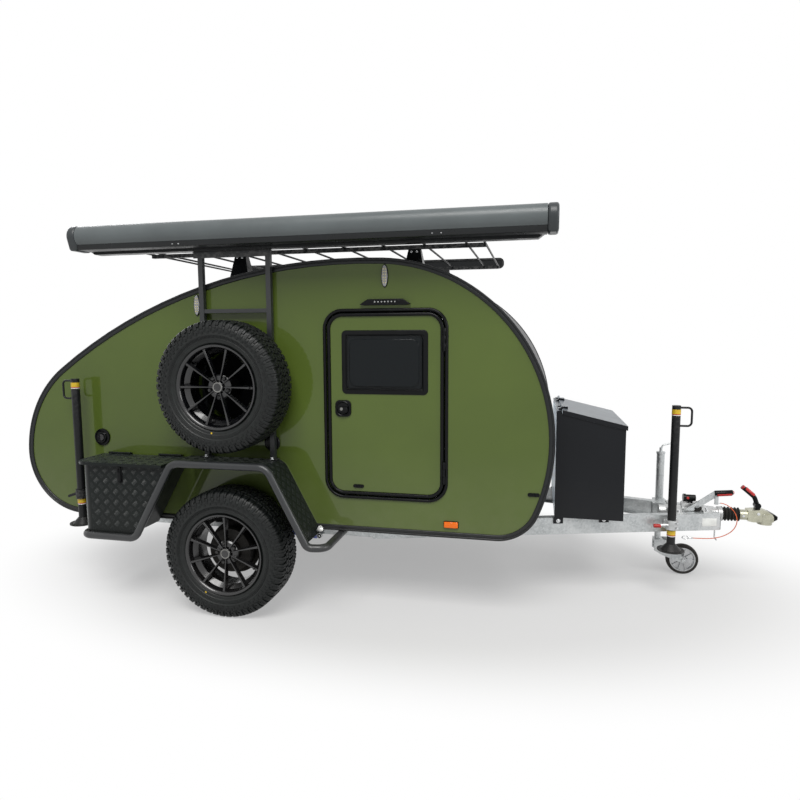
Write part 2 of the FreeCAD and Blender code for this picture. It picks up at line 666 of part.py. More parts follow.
def mudguard():
    """Folded plate over the wheel, with the slanted flap in front of it."""
    plate = folded_plate((GUARD_REAR_X, GUARD_TOP_Z), GUARD_CORNER, GUARD_TOE, GUARD_BEND, PLATE,
                         (BOX_IN_Y, PIPE_Y - 8))
    web_top, web_low = GUARD_TOP_Z - PLATE, GUARD_TOP_Z - PLATE - GUARD_WEB
    web = prism_y([(GUARD_REAR_X, web_top), (GUARD_WEB_X, web_top), (GUARD_WEB_X, web_low),
                   (GUARD_REAR_X - 18, web_low)], (BODY_HALF_WIDTH, BOX_IN_Y + PLATE))
    return fuse([plate, web])


def box_profile(inset):
    """Side view of the storage box; its front wall leans with the guard rail."""
    low, high = BOX_BOTTOM_Z + inset, BOX_TOP_Z
    lean = (GUARD_PATH[2][0] - GUARD_PATH[1][0]) / (GUARD_PATH[2][1] - GUARD_PATH[1][1])
    front_low = GUARD_PATH[1][0] + lean * (low - GUARD_PATH[1][1]) - PIPE_R - 8 - inset
    front_high = GUARD_PATH[1][0] + lean * (high - GUARD_PATH[1][1]) - PIPE_R - 8 - inset
    rear = BOX_REAR_X + inset
    return [(rear, low), (front_low, low), (front_high, high + (2 if inset else 0)),
            (rear, high + (2 if inset else 0))]


def rounded_rear_corner(shape, radius):
    """Round the upright edge at the rear outer corner."""
    edges = [e for e in shape.Edges if abs(e.tangentAt(0).z) > 0.99
             and e.CenterOfMass.x < BOX_REAR_X + 12 and e.CenterOfMass.y > 950]
    return shape.makeFillet(radius, edges)


def storage_box():
    outer = prism_y(box_profile(0), (BOX_IN_Y, BOX_OUT_Y))
    outer = rounded_rear_corner(outer, BOX_CORNER)
    inner = prism_y(box_profile(PLATE), (BOX_IN_Y + PLATE, BOX_OUT_Y - PLATE))
    inner = rounded_rear_corner(inner, BOX_CORNER - PLATE)
    shell = outer.cut(inner)
    pieces = [shell]
    half = LID_BARREL / 2
    for (fixed, _, _), x in zip(side_lid_hinges(), SIDE_LID_HINGE_X):
        pieces.append(fixed)
        for low, high in ((-3 * half, -half - 0.5), (half + 0.5, 3 * half)):
            pieces.append(box((x + low, x + high), (BOX_IN_Y, BOX_IN_Y + PLATE),
                              (BOX_TOP_Z - 1, SIDE_LID_HINGE_Z + 3)))
            pieces.append(box((x + low, x + high), (BOX_IN_Y, SIDE_LID_HINGE_Y),
                              (SIDE_LID_HINGE_Z - 2, SIDE_LID_HINGE_Z + 3)))
    return fuse(pieces)


LID_BARREL = 50.0
LID_TOP_Z = BOX_TOP_Z + SEAT_GAP + LID_T
SIDE_LID_HINGE_Y = BOX_IN_Y + 17.0
SIDE_LID_HINGE_Z = LID_TOP_Z + 7.0
SIDE_LID_HINGE_X = (-780.0, -440.0)


def side_lid_hinges():
    return [knuckles((x, SIDE_LID_HINGE_Y, SIDE_LID_HINGE_Z), (1, 0, 0), LID_BARREL, 3.0, 6.0)
            for x in SIDE_LID_HINGE_X]


def storage_lid():
    """Folded tray lid: top plate with a skirt outside the box walls."""
    back = BOX_IN_Y + PLATE + RUN_GAP
    plate = box((LID_REAR_X, LID_FRONT_X), (back, LID_OUT_Y), (BOX_TOP_Z + SEAT_GAP, LID_TOP_Z))
    edges = [e for e in plate.Edges if abs(e.tangentAt(0).z) > 0.99
             and e.CenterOfMass.x < LID_REAR_X + 1 and e.CenterOfMass.y > 900]
    plate = plate.makeFillet(BOX_CORNER + 12, edges)
    seat = BOX_TOP_Z + SEAT_GAP
    heel = prism_x([(back - 1, seat - 1), (back + 6, seat - 1), (back - 1, seat + 4)],
                   grow((LID_REAR_X, LID_FRONT_X), 1))
    pieces = [plate.cut(heel)]
    half = LID_BARREL / 2
    for (_, moving, bore), x in zip(side_lid_hinges(), SIDE_LID_HINGE_X):
        foot = box((x - half, x + half), (SIDE_LID_HINGE_Y - 6, SIDE_LID_HINGE_Y + 6),
                   (LID_TOP_Z - 1, SIDE_LID_HINGE_Z)).cut(bore)
        pieces += [moving, foot]
    return fuse(pieces)


# ---------------------------------------------------------------- wheels
def spin(profile, centre_y):
    """Turn a closed outline of (radius, offset) points round the wheel axis."""
    corners = [Vec(r, centre_y + w, 0) for r, w in profile]
    face = Part.Face(Part.makePolygon(corners + corners[:1]))
    return face.revolve(Vec(0, 0, 0), Y_AXIS, 360)


def tyre():
    """Hollow tyre, its beads inside the rim's flanges."""
    hw, r = TYRE_HALF_WIDTH, TYRE_R
    bead_r, bead_w = RIM_R - 10.7, RIM_HALF_WIDTH - 12.3

    def arc(a, b, c):
        return Part.Arc(*[Vec(p[0], p[1], 0) for p in (a, b, c)]).toShape()

    def line(a, b):
        return Part.makeLine(Vec(a[0], a[1], 0), Vec(b[0], b[1], 0))

    shoulder_r, shoulder_w = r - 12, hw - 13
    edges = [
        line((bead_r, bead_w), (RIM_R + 1, bead_w)),
        arc((RIM_R + 1, bead_w), (295, hw), (shoulder_r, shoulder_w)),
        line((shoulder_r, shoulder_w), (r - 3, hw - 26)),
        arc((r - 3, hw - 26), (r, 0), (r - 3, 26 - hw)),
        line((r - 3, 26 - hw), (shoulder_r, -shoulder_w)),
        arc((shoulder_r, -shoulder_w), (295, -hw), (RIM_R + 1, -bead_w)),
        line((RIM_R + 1, -bead_w), (bead_r, -bead_w)),
        line((bead_r, -bead_w), (bead_r, -bead_w + 20)),
        arc((bead_r, -bead_w + 20), (295, TYRE_WALL - hw), (r - 15, 30 - hw)),
        line((r - 15, 30 - hw), (r - 15, hw - 30)),
        arc((r - 15, hw - 30), (295, hw - TYRE_WALL), (bead_r, bead_w - 20)),
        line((bead_r, bead_w - 20), (bead_r, bead_w)),
    ]
    return Part.Face(Part.Wire(edges)).revolve(Vec(0, 0, 0), Y_AXIS, 360)


def spoke(turn):
    """One tapered spoke from the hub to the barrel, dished towards the hub."""
    sections = []
    for r, w, half, depth in ((48.0, 72.0, 10.0, 30.0), (RIM_R - 20, 92.0, 13.0, 24.0)):
        corners = [Vec(r, w, -half), Vec(r, w, half), Vec(r, w - depth, half * 0.6),
                   Vec(r, w - depth, -half * 0.6)]
        sections.append(Part.makePolygon(corners + corners[:1]))
    bar = Part.makeLoft(sections, True, True)
    bar.rotate(Vec(0, 0, 0), Y_AXIS, turn)
    return bar


def rim():
    r, w = RIM_R, RIM_HALF_WIDTH
    barrel = spin([(r, w), (r, w - 8), (r - 11, w - 12), (r - 13, w - 40), (r - 36, w - 62),
                   (r - 36, -w + 44), (r - 13, -w + 30), (r - 11, -w + 12), (r, -w + 8), (r, -w),
                   (r - 7, -w), (r - 18, -w + 10), (r - 20, -w + 34), (r - 44, -w + 46),
                   (r - 44, w - 66), (r - 22, w - 44), (r - 18, w - 10), (r - 7, w)], 0)
    hub = Part.makeCylinder(HUB_R, 26, Vec(0, HUB_FACE, 0), Y_AXIS)
    well = Part.makeCylinder(33, 30, Vec(0, HUB_FACE + 22, 0), Y_AXIS)
    nuts = [Part.makeCylinder(9.5, 30, Vec(BOLT_R * math.cos(a), HUB_FACE + 16, BOLT_R * math.sin(a)), Y_AXIS)
            for a in (math.radians(72 * k + 18) for k in range(5))]
    cap = Part.makeCylinder(31, 16, Vec(0, HUB_FACE + 16, 0), Y_AXIS)
    solid = fuse([barrel, hub] + [spoke(360.0 / SPOKES * k) for k in range(SPOKES)])
    return fuse([cut(solid, [well] + nuts), cap])


def hub_drum():
    drum = spin([(STUB_R + PIN_PLAY, HUB_FACE), (72, HUB_FACE), (72, 20), (DRUM_R, 14),
                 (DRUM_R, -60), (DRUM_R - 14, -60), (DRUM_R - 14, 0), (60, 4), (48, -50),
                 (STUB_R + PIN_PLAY, -50)], 0)
    return drum


def at_wheel(shape, x, y, z):
    placed = shape.copy()
    placed.translate(Vec(x, y, z))
    return placed


# ---------------------------------------------------------------- spare wheel and ladder
def spare_ladder():
    """Two uprights on the right mudguard with rung, head plate and the spare's carrier."""
    half = LADDER_TUBE / 2
    y = (-LADDER_Y - half, -LADDER_Y + half)
    foot_z = FENDER_TOP_Z - 4
    bars = [box((x - half, x + half), y, (foot_z, LADDER_TOP_Z + 36)) for x in LADDER_X]
    feet = [box((x - 26, x + 26), (y[0] - 12, -BODY_HALF_WIDTH - 2), (foot_z, foot_z + 6))
            for x in LADDER_X]
    rung = box(LADDER_X, (-LADDER_Y - 11, -LADDER_Y + 11), (LADDER_RUNG_Z - 11, LADDER_RUNG_Z + 11))
    head_x, t = (LADDER_X[0] - 37, LADDER_X[1] + 20), LADDER_HEAD_T
    head_top = AWNING_RAIL_Z[0] + 16
    head = box(head_x, (y[0] - t, y[0]), (LADDER_TOP_Z, head_top))
    ledge = box(head_x, (y[0] - t, y[1]), (head_top - t, head_top))
    carrier = [box(LADDER_X, (-LADDER_Y - 12, -LADDER_Y + 12), (z - 20, z + 20))
               for z in (SPARE_Z - 60, SPARE_Z + 60)]
    plate = Part.makeCylinder(CARRIER_R, 8, Vec(SPARE_X, -LADDER_Y - 19, SPARE_Z), Y_AXIS)
    mount_y = SPARE_MID_Y + HUB_FACE
    post = Part.makeCylinder(58, mount_y - LADDER_Y - 12, Vec(SPARE_X, -mount_y, SPARE_Z), Y_AXIS)
    return fuse(bars + feet + [rung, head, ledge, plate, post] + carrier)


# ---------------------------------------------------------------- awning and roof rack
def awning_case():
    """Extruded cassette: rounded front, stepped underside."""
    b, f, low, high = AWNING_BACK_Y, AWNING_FRONT_Y, AWNING_BOTTOM_Z, AWNING_TOP_Z

    def p(y, z):
        return Vec(AWNING_X[0] + AWNING_CAP, -y, z)

    edges = [Part.makeLine(p(b, low), p(b, high)), Part.makeLine(p(b, high), p(f - 52, high)),
             Part.Arc(p(f - 52, high), p(f - 14, high - 16), p(f, high - 58)).toShape(),
             Part.makeLine(p(f, high - 58), p(f - 3, low + 30)),
             Part.makeLine(p(f - 3, low + 30), p(f - 20, low + 26)),
             Part.makeLine(p(f - 20, low + 26), p(f - 24, low)),
             Part.makeLine(p(f - 24, low), p(b, low))]
    face = Part.Face(Part.Wire(edges))
    return face.extrude(Vec(AWNING_X[1] - AWNING_X[0] - 2 * AWNING_CAP, 0, 0))


def awning_caps():
    """Moulded end caps, a little larger than the cassette."""
    b, f, low, high = AWNING_BACK_Y, AWNING_FRONT_Y + 3, AWNING_BOTTOM_Z - 3, AWNING_TOP_Z + 2
    cap = box((AWNING_X[0], AWNING_X[0] + AWNING_CAP), (-f, -b), (low, high))
    front = [e for e in cap.Edges if abs(e.tangentAt(0).x) > 0.9 and e.CenterOfMass.y < -f + 1]
    cap = cap.makeFillet(42, front)
    outer = [e for e in cap.Edges if e.CenterOfMass.x < AWNING_X[0] + 0.5]
    cap = cap.makeFillet(8, outer)
    middle = (AWNING_X[0] + AWNING_X[1]) / 2
    return Part.makeCompound([cap, cap.mirror(Vec(middle, 0, 0), X_AXIS)])


AWNING_BRACKET_X = (-420.0, RACK_FOOT_X[1] - 20)


def awning_rail():
    """Adapter rail behind the cassette, held by arms from the roof rack's side rail."""
    low, high = AWNING_RAIL_Z
    rail = prism_y([(AWNING_RAIL_X[0], high), (AWNING_RAIL_X[0], low + 22), (AWNING_RAIL_X[0] + 30, low),
                    (AWNING_RAIL_X[1] - 30, low), (AWNING_RAIL_X[1], low + 22), (AWNING_RAIL_X[1], high)],
                   (-AWNING_BACK_Y, -LADDER_Y - LADDER_TUBE / 2 - LADDER_HEAD_T))
    arms = [box((x - 20, x + 20), (-AWNING_BACK_Y + 40, -RACK_HALF_Y - RACK_RAIL_T / 2), (high - 12, high))
            for x in (AWNING_BRACKET_X[0], 330.0, AWNING_BRACKET_X[1])]
    plates = [box((x - 20, x + 20), (-RACK_HALF_Y - RACK_RAIL_T / 2 - 8, -RACK_HALF_Y - RACK_RAIL_T / 2),
                  (high - 12, high + 40))
              for x in (AWNING_BRACKET_X[0], 330.0, AWNING_BRACKET_X[1])]
    return fuse([rail] + arms + plates)


RACK_WEB_T = 3.0
RACK_END = 36.0            # from the rack's ends to its outermost rods
RACK_FIRST_ROD = 111.0
BEARER_Y, BEARER_W, BEARER_H = 560.0, 24.0, 22.0


def rack_rods():
    """Round cross rods between the rack's two side rails."""
    x0, x1 = RACK_X
    count = int((x1 - x0 - RACK_FIRST_ROD - 100) / RACK_ROD_PITCH) + 1
    places = [x0 + RACK_FIRST_ROD + RACK_ROD_PITCH * k for k in range(count)] + [x0 + RACK_END, x1 - RACK_END]
    reach = RACK_HALF_Y - RACK_RAIL_T / 2
    return Part.makeCompound([rod((x, -reach, RACK_ROD_Z), (x, reach, RACK_ROD_Z), RACK_ROD_R)
                              for x in places])


def rack_rails():
    """Two deep side rails with rounded ends, and the two bearers that the rods lie in."""
    low, high = RACK_ROD_Z - 8, RACK_ROD_Z - 8 + RACK_RAIL_H
    x0, x1 = RACK_X
    half_t, half_web = RACK_RAIL_T / 2, RACK_WEB_T / 2
    web = rounded_panel((x0 + 4, x1 - 4), (low + 4, high - 4), 30.0,
                        (RACK_HALF_Y - half_web, RACK_HALF_Y + half_web))
    bead = panel_ring((x0, x1), (low, high), 34.0, (0, RACK_RAIL_T),
                      (RACK_HALF_Y - half_t, RACK_HALF_Y + half_t))
    rods = rack_rods()
    rail = fuse([web, bead])
    half = BEARER_W / 2
    bearer = box((x0 + RACK_END - 6, x1 - RACK_END + 6), (BEARER_Y - half, BEARER_Y + half),
                 (RACK_ROD_Z - BEARER_H, RACK_ROD_Z)).cut(rods)
    return Part.makeCompound([rail, mirror(rail), bearer, mirror(bearer)])


def rack_feet():
    """Four tapered feet from the roof skin up to the rack's bearers."""
    feet = []
    for x in RACK_FOOT_X:
        top = RACK_ROD_Z - BEARER_H
        corners = ((-1, -1), (1, -1), (1, 1), (-1, 1), (-1, -1))
        foot = Part.makeLoft([Part.makePolygon([Vec(x + a * wide, BEARER_Y + b * deep, z)
                                                for a, b in corners])
                              for wide, deep, z in ((62, 48, 1900), (34, 20, top))], True, True)
        foot = foot.cut(outline_slab(SKIN_INSET, (300, BODY_HALF_WIDTH)))
        feet += [foot, mirror(foot)]
    return Part.makeCompound(feet)


# ---------------------------------------------------------------- front box
def front_box_slope(x):
    """Height of the lid's underside above the box's front edge at a place along the trailer."""
    fall = (FRONT_BOX_REAR_Z - 22 - FRONT_BOX_FRONT_Z) / (FRONT_BOX_X[1] - FRONT_LID_X[0])
    return FRONT_BOX_FRONT_Z + fall * (FRONT_BOX_X[1] - x)


FRONT_HINGE_X = FRONT_LID_X[0] - 1.0
FRONT_HINGE_Z = FRONT_BOX_REAR_Z + 14.0
FRONT_HINGE_Y = (-240.0, 240.0)
FRONT_BARREL = 60.0


def front_lid_hinges():
    return [knuckles((FRONT_HINGE_X, y, FRONT_HINGE_Z), (0, 1, 0), FRONT_BARREL, 3.5, 7.0)
            for y in FRONT_HINGE_Y]


def front_box():
    x0, x1 = FRONT_BOX_X
    lip = FRONT_LID_X[0] - 6
    y = (-FRONT_BOX_HALF_Y, FRONT_BOX_HALF_Y)
    outer = prism_y([(x0, FRONT_BOX_BOTTOM_Z), (x1, FRONT_BOX_BOTTOM_Z), (x1, front_box_slope(x1)),
                     (lip, front_box_slope(lip)), (lip, FRONT_BOX_REAR_Z), (x0, FRONT_BOX_REAR_Z)], y)
    t = PLATE
    inner = prism_y([(x0 + t, FRONT_BOX_BOTTOM_Z + t), (x1 - t, FRONT_BOX_BOTTOM_Z + t),
                     (x1 - t, FRONT_BOX_REAR_Z - t), (lip - t, FRONT_BOX_REAR_Z - t),
                     (x0 + t, FRONT_BOX_REAR_Z - t)],
                    grow(y, -t))
    feet = []
    for x in (1815.0, 2079.0):
        feet.append(prism_z([(x - 28, beam_outer_y(x - 28)), (x + 28, beam_outer_y(x + 28)),
                             (x + 28, beam_outer_y(x + 28) + 5), (x - 28, beam_outer_y(x - 28) + 5)],
                            (FLOOR_Z - 34, FRONT_BOX_BOTTOM_Z + 1)))
    pieces = [outer.cut(inner)] + feet + [mirror(foot) for foot in feet]
    half = FRONT_BARREL / 2
    for (fixed, _, _), y_mid in zip(front_lid_hinges(), FRONT_HINGE_Y):
        pieces.append(fixed)
        for low, high in ((-3 * half, -half - 0.5), (half + 0.5, 3 * half)):
            pieces.append(box((FRONT_HINGE_X - 22, FRONT_HINGE_X - 2), (y_mid + low, y_mid + high),
                              (FRONT_BOX_REAR_Z - 1, FRONT_HINGE_Z - 4)))
    return fuse(pieces)


def front_box_lid():
    x0, x1 = FRONT_LID_X
    y = (-FRONT_BOX_HALF_Y - 6, FRONT_BOX_HALF_Y + 6)
    low = [(x, front_box_slope(x) + SEAT_GAP) for x in (x0, x1)]
    high = [(x, z + FRONT_LID_T) for x, z in low[::-1]]
    plate = prism_y(low + high, y)
    half = FRONT_BARREL / 2
    pieces = []
    rooms = []
    for (_, moving, bore), y_mid in zip(front_lid_hinges(), FRONT_HINGE_Y):
        arm = box((FRONT_HINGE_X + 1, FRONT_HINGE_X + 34), (y_mid - half, y_mid + half),
                  (FRONT_HINGE_Z - 24, FRONT_HINGE_Z - 1)).cut(bore)
        pieces += [moving, arm]
        start = Vec(FRONT_HINGE_X, y_mid - 1.5 * FRONT_BARREL - 1, FRONT_HINGE_Z)
        rooms.append(Part.makeCylinder(8.5, 3 * FRONT_BARREL + 2, start, Y_AXIS))
    return fuse([plate.cut(rooms)] + pieces)


# ---------------------------------------------------------------- drawbar fittings
def overrun_housing():
    """Cast housing of the overrun device between the drawbar beams, with its bolting ears."""
    tube = Part.makeCylinder(36, 360, Vec(2430, 0, SHAFT_Z), X_AXIS)
    block = box((2470, 2730), (-44, 44), (SHAFT_Z - 34, SHAFT_Z + 30))
    nose = Part.makeCylinder(42, 24, Vec(2766, 0, SHAFT_Z), X_AXIS)
    saddle = box((2560, 2680), (-30, 30), (SHAFT_Z + 20, SHAFT_Z + 62))
    saddle_edges = [e for e in saddle.Edges
                    if abs(e.tangentAt(0).y) > 0.9 and e.CenterOfMass.z > SHAFT_Z + 50]
    saddle = saddle.makeFillet(18, saddle_edges)
    ears = []
    for x in (2520.0, 2690.0):
        reach = beam_outer_y(x + 22) - 6
        ears.append(box((x - 22, x + 22), (-reach, reach), (FLOOR_Z, FLOOR_Z + 10)))
    flange = prism_z(beam_plan(), (FLOOR_Z - BEAM_STEEL, FLOOR_Z))
    return fuse([tube, block, nose, saddle] + ears).cut([flange, mirror(flange)])


def coupling_bellows():
    """Rubber gaiter over the overrun shaft."""
    points = [(30.5, 2790.0)]
    ribs = 5
    pitch = 95.0 / ribs
    for k in range(ribs):
        points += [(44.0 - k * 1.5, 2790.0 + pitch * (k + 0.12)),
                   (44.0 - k * 1.5, 2790.0 + pitch * (k + 0.45)),
                   (34.0 - k * 0.5, 2790.0 + pitch * (k + 0.75))]
    points += [(30.5, 2885.0)]
    corners = [Vec(x, 0, r) for r, x in points] + [Vec(2885.0, 0, 22.5), Vec(2790.0, 0, 22.5)]
    face = Part.Face(Part.makePolygon(corners + corners[:1]))
    solid = face.revolve(Vec(0, 0, 0), X_AXIS, 360)
    solid.translate(Vec(0, 0, SHAFT_Z))
    return solid


def coupling_head():
    """Overrun shaft and ball socket with the pressed head over it."""
    shaft = Part.makeCylinder(22, 140, Vec(2790, 0, SHAFT_Z), X_AXIS)
    neck = Part.makeCylinder(31, 60, Vec(2886, 0, SHAFT_Z), X_AXIS)
    web = prism_y([(2930, SHAFT_Z + 34), (3010, SHAFT_Z + 42), (3060, SHAFT_Z + 22),
                   (COUPLING_TIP_X, SHAFT_Z + 6), (COUPLING_TIP_X, SHAFT_Z - 14), (3066, SHAFT_Z - 30),
                   (2960, SHAFT_Z - 36), (2930, SHAFT_Z - 30)], (-33, 33))
    dome = Part.makeCylinder(41, 66, Vec(BALL_X, 0, BALL_Z - 24))
    room_r, low = BALL_R + 0.3, BALL_Z - 30
    wall, top = Vec(BALL_X + room_r, 0, BALL_Z), Vec(BALL_X, 0, BALL_Z + room_r)
    shoulder = Vec(BALL_X + room_r * math.sqrt(0.5), 0, BALL_Z + room_r * math.sqrt(0.5))
    half = Part.Face(Part.Wire([
        Part.makeLine(Vec(BALL_X, 0, low), Vec(BALL_X + room_r, 0, low)),
        Part.makeLine(Vec(BALL_X + room_r, 0, low), wall), Part.Arc(wall, shoulder, top).toShape(),
        Part.makeLine(top, Vec(BALL_X, 0, low))]))
    ball_room = half.revolve(Vec(BALL_X, 0, BALL_Z), Z_AXIS, 360)
    return fuse([shaft, neck, web, dome]).cut(ball_room)


def coupling_handle():
    """Locking handle on the coupling's pivot."""
    pivot = Part.makeCylinder(17, 44, Vec(2985, -22, SHAFT_Z + 62), Y_AXIS)
    stem = box((2972, 2998), (-16, 16), (SHAFT_Z + 30, SHAFT_Z + 60))
    grip = bent_tube([(2985, 0, SHAFT_Z + 66), (2968, 0, SHAFT_Z + 112), (2898, 0, SHAFT_Z + 172)], 13, 40)
    return fuse([pivot, stem, grip])


LEVER_Y = -58.0


def handbrake_lever():
    """Handbrake lever with its pivot on the housing and a round grip."""
    pivot = Part.makeCylinder(20, 20, Vec(2560, LEVER_Y - 6, SHAFT_Z), Y_AXIS)
    bar = prism_y([(2556, SHAFT_Z - 14), (2572, SHAFT_Z - 8), (2752, SHAFT_Z + 122), (2740, SHAFT_Z + 150),
                   (2728, SHAFT_Z + 148), (2548, SHAFT_Z + 12)], (LEVER_Y - 6, LEVER_Y + 6))
    grip = rod((2733, LEVER_Y, SHAFT_Z + 138), (2832, LEVER_Y, SHAFT_Z + 147), 14)
    lug = box((2732, CABLE_POINTS[0][0]), (LEVER_Y - 20, LEVER_Y), (SHAFT_Z + 72, SHAFT_Z + 122))
    return fuse([pivot, bar, grip, lug])


def jockey_tube():
    """Outer tube with its clamp on the left beam, and the crank on top."""
    x, y = JOCKEY_X, JOCKEY_Y
    low, high = JOCKEY_TUBE_Z
    tube = Part.makeCylinder(JOCKEY_TUBE_R, high - low, Vec(x, y, low))
    bore = Part.makeCylinder(JOCKEY_INNER_R + PIN_PLAY, high - low - 40, Vec(x, y, low - 1))
    clamp = box((x - 36, x + 36), (beam_outer_y(x - 36) - 18, y + 34), (FLOOR_Z - 82, FLOOR_Z - 6))
    beam_side = prism_z(beam_plan(), (0, 900))
    clamp = clamp.cut(beam_side)
    ear = box((x - 8, x + 8), (y + 30, y + 58), (FLOOR_Z - 60, FLOOR_Z - 26))
    handle = rod((x, y + 48, FLOOR_Z - 43), (x + 55, y + 48, FLOOR_Z - 25), 7)
    cap = Part.makeCylinder(JOCKEY_TUBE_R + 3, 12, Vec(x, y, high - 4))
    spindle = Part.makeCylinder(9, 32, Vec(x, y, high + 4))
    crank = bent_tube([(x, y, high + 30), (x + 12, y, high + 52), (x + 74, y, high + 70)], 5, 8)
    solid = fuse([tube, clamp, ear, handle, cap, spindle, crank])
    return solid.cut(bore)


JOCKEY_AXLE_R = 8.0


def jockey_inner_tube():
    """Inner tube that the crank runs up and down; the fork turns in its lower end."""
    x, y = JOCKEY_X, JOCKEY_Y
    low = JOCKEY_CROWN_Z[1] + SEAT_GAP
    tube = Part.makeCylinder(JOCKEY_INNER_R, JOCKEY_INNER_TOP_Z - low, Vec(x, y, low))
    return tube.cut(Part.makeCylinder(JOCKEY_PIVOT_R + PIN_PLAY, JOCKEY_PIVOT_L + 2, Vec(x, y, low - 1)))


def jockey_fork():
    """Trailing fork of the jockey wheel, with its upright pivot and the axle."""
    x, y = JOCKEY_X, JOCKEY_Y
    low, high = JOCKEY_CROWN_Z
    inner = Part.makeCylinder(JOCKEY_PIVOT_R, JOCKEY_PIVOT_L, Vec(x, y, high))
    crown = box((x - 24, x + 30), (y - 40, y + 40), (low, high))
    axle_x, top = x + JOCKEY_TRAIL, high
    cheeks = []
    for inside, outside in ((y - 40, y - 34), (y + 34, y + 40)):
        cheek = prism_y([(x - 24, top), (x - 24, top - 74), (x + 20, top - 100), (axle_x, JOCKEY_R - 20),
                         (axle_x + 18, JOCKEY_R), (axle_x, JOCKEY_R + 20), (x + 60, top)], (inside, outside))
        cheeks.append(cheek)
    axle = Part.makeCylinder(JOCKEY_AXLE_R, 96, Vec(axle_x, y - 48, JOCKEY_R), Y_AXIS)
    return fuse([inner, crown, axle] + cheeks)


def jockey_wheel():
    """Spoked wheel with a solid tyre."""
    def ring(outer, inner, half):
        solid = Part.makeCylinder(outer, 2 * half, Vec(0, -half, 0), Y_AXIS)
        return solid.cut(Part.makeCylinder(inner, 2 * half + 2, Vec(0, -half - 1, 0), Y_AXIS))

    hub = ring(22, JOCKEY_AXLE_R + PIN_PLAY, 27)
    tread = ring(JOCKEY_R, JOCKEY_R - 20, 24)
    edges = [e for e in tread.Edges if abs(e.Length - 2 * math.pi * JOCKEY_R) < 1]
    tread = tread.makeFillet(8, edges)
    spokes = []
    for k in range(6):
        bar = box((15, JOCKEY_R - 18), (-6, 6), (-7, 7))
        bar.rotate(Vec(0, 0, 0), Y_AXIS, 60.0 * k)
        spokes.append(bar.cut(Part.makeCylinder(JOCKEY_AXLE_R + 2, 60, Vec(0, -30, 0), Y_AXIS)))
    solid = fuse([hub, tread] + spokes)
    solid.translate(Vec(JOCKEY_X + JOCKEY_TRAIL, JOCKEY_Y, JOCKEY_R))
    return solid


# ---------------------------------------------------------------- support legs
def support_leg(x, y, span, handle_side):
    """Sliding tube with a foot plate and a loop handle near its top."""
    low, high = span
    tube = Part.makeCylinder(LEG_R, high - low - 6, Vec(x, y, low + 6))
    hollow = Part.makeCylinder(LEG_R - 3, high - low - 90, Vec(x, y, low + 60))
    foot = Part.makeCylinder(LEG_FOOT_R, 6, Vec(x, y, low))
    cone = Part.makeCone(LEG_FOOT_R - 18, LEG_R + 2, 34, Vec(x, y, low + 6))
    s = handle_side
    loop = bent_tube([(x + s * 10, y, high - 12), (x + s * 84, y, high - 12), (x + s * 84, y, high - 118),
                      (x + s * 10, y, high - 118)], 6, 22)
    return fuse([tube.cut(hollow), foot, cone, loop])


def leg_collar(x, y, z):
    return Part.makeCylinder(LEG_R + 9, 56, Vec(x, y, z - 28))


def leg_clamps():
    """Clamps of the three support legs with their levers."""
    room = [Part.makeCylinder(LEG_R + PIN_PLAY, 400, Vec(x, y, z - 200)) for x, y, z in
            ((REAR_LEG_X, REAR_LEG_Y, REAR_CLAMP_Z), (FRONT_LEG_X, FRONT_LEG_Y, FRONT_CLAMP_Z))]
    x, y, z = REAR_LEG_X, REAR_LEG_Y, REAR_CLAMP_Z
    arm = box((x - 22, x + 22), (BODY_HALF_WIDTH, y - 20), (z - 20, z + 20))
    plate = box((x - 45, x + 45), (BODY_HALF_WIDTH, BODY_HALF_WIDTH + 8), (z - 45, z + 45))
    lever = rod((x - 28, y, z), (x - 86, y + 8, z - 20), 8)
    rear = fuse([leg_collar(x, y, z), arm, plate, lever]).cut(room[0])
    x, y, z = FRONT_LEG_X, FRONT_LEG_Y, FRONT_CLAMP_Z
    arm = box((x - 40, x + 40), (y + 10, -beam_outer_y(x) + 18), (z - 26, z + 26))
    arm = arm.cut(mirror(prism_z(beam_plan(), (0, 900))))
    lever = rod((x - 22, y - 24, z + 2), (x - 100, y - 24, z - 6), 9)
    front = fuse([leg_collar(x, y, z), arm, lever]).cut(room[1])
    return Part.makeCompound([rear, mirror(rear), front])


# ---------------------------------------------------------------- lamps and fittings
def side_lamps():
    """Amber markers low on both sides, white oval markers high up and the porch lamps."""
    y = BODY_HALF_WIDTH
    amber = rounded_panel((1196, 1278), (525, 564), 6.0, (y, y + 14))
    oval = Part.makeCylinder(20, 14, Vec(0, y, 0), Y_AXIS)
    stretch = FreeCAD.Matrix()
    stretch.scale(Vec(1, 1, 3.05))
    ovals = []
    for x, z in ((875.0, 1884.0), (-238.0, 1746.0)):
        lens = oval.transformGeometry(stretch)
        lens.translate(Vec(x, 0, z))
        ovals.append(lens)
    porch = prism_y([(738, 1734), (1019, 1734), (972, 1762), (786, 1762)], (y, y + 22))
    pieces = [amber, porch] + ovals
    return Part.makeCompound(pieces + [mirror(piece) for piece in pieces])


def wall_fittings():
    """Round service inlets and the catch that holds the open door, on both sides."""
    y = BODY_HALF_WIDTH
    inlet = Part.makeCylinder(52, 10, Vec(-913, y, 958), Y_AXIS)
    inner = Part.makeCylinder(34, 8, Vec(-913, y + 10, 958), Y_AXIS)
    second = Part.makeCylinder(47, 10, Vec(206, y, 960), Y_AXIS)
    catch = rounded_panel((1640, 1703), (724, 742), 5.0, (y, y + 16))
    pieces = [fuse([inlet, inner]), second, catch]
    return Part.makeCompound(pieces + [mirror(piece) for piece in pieces])


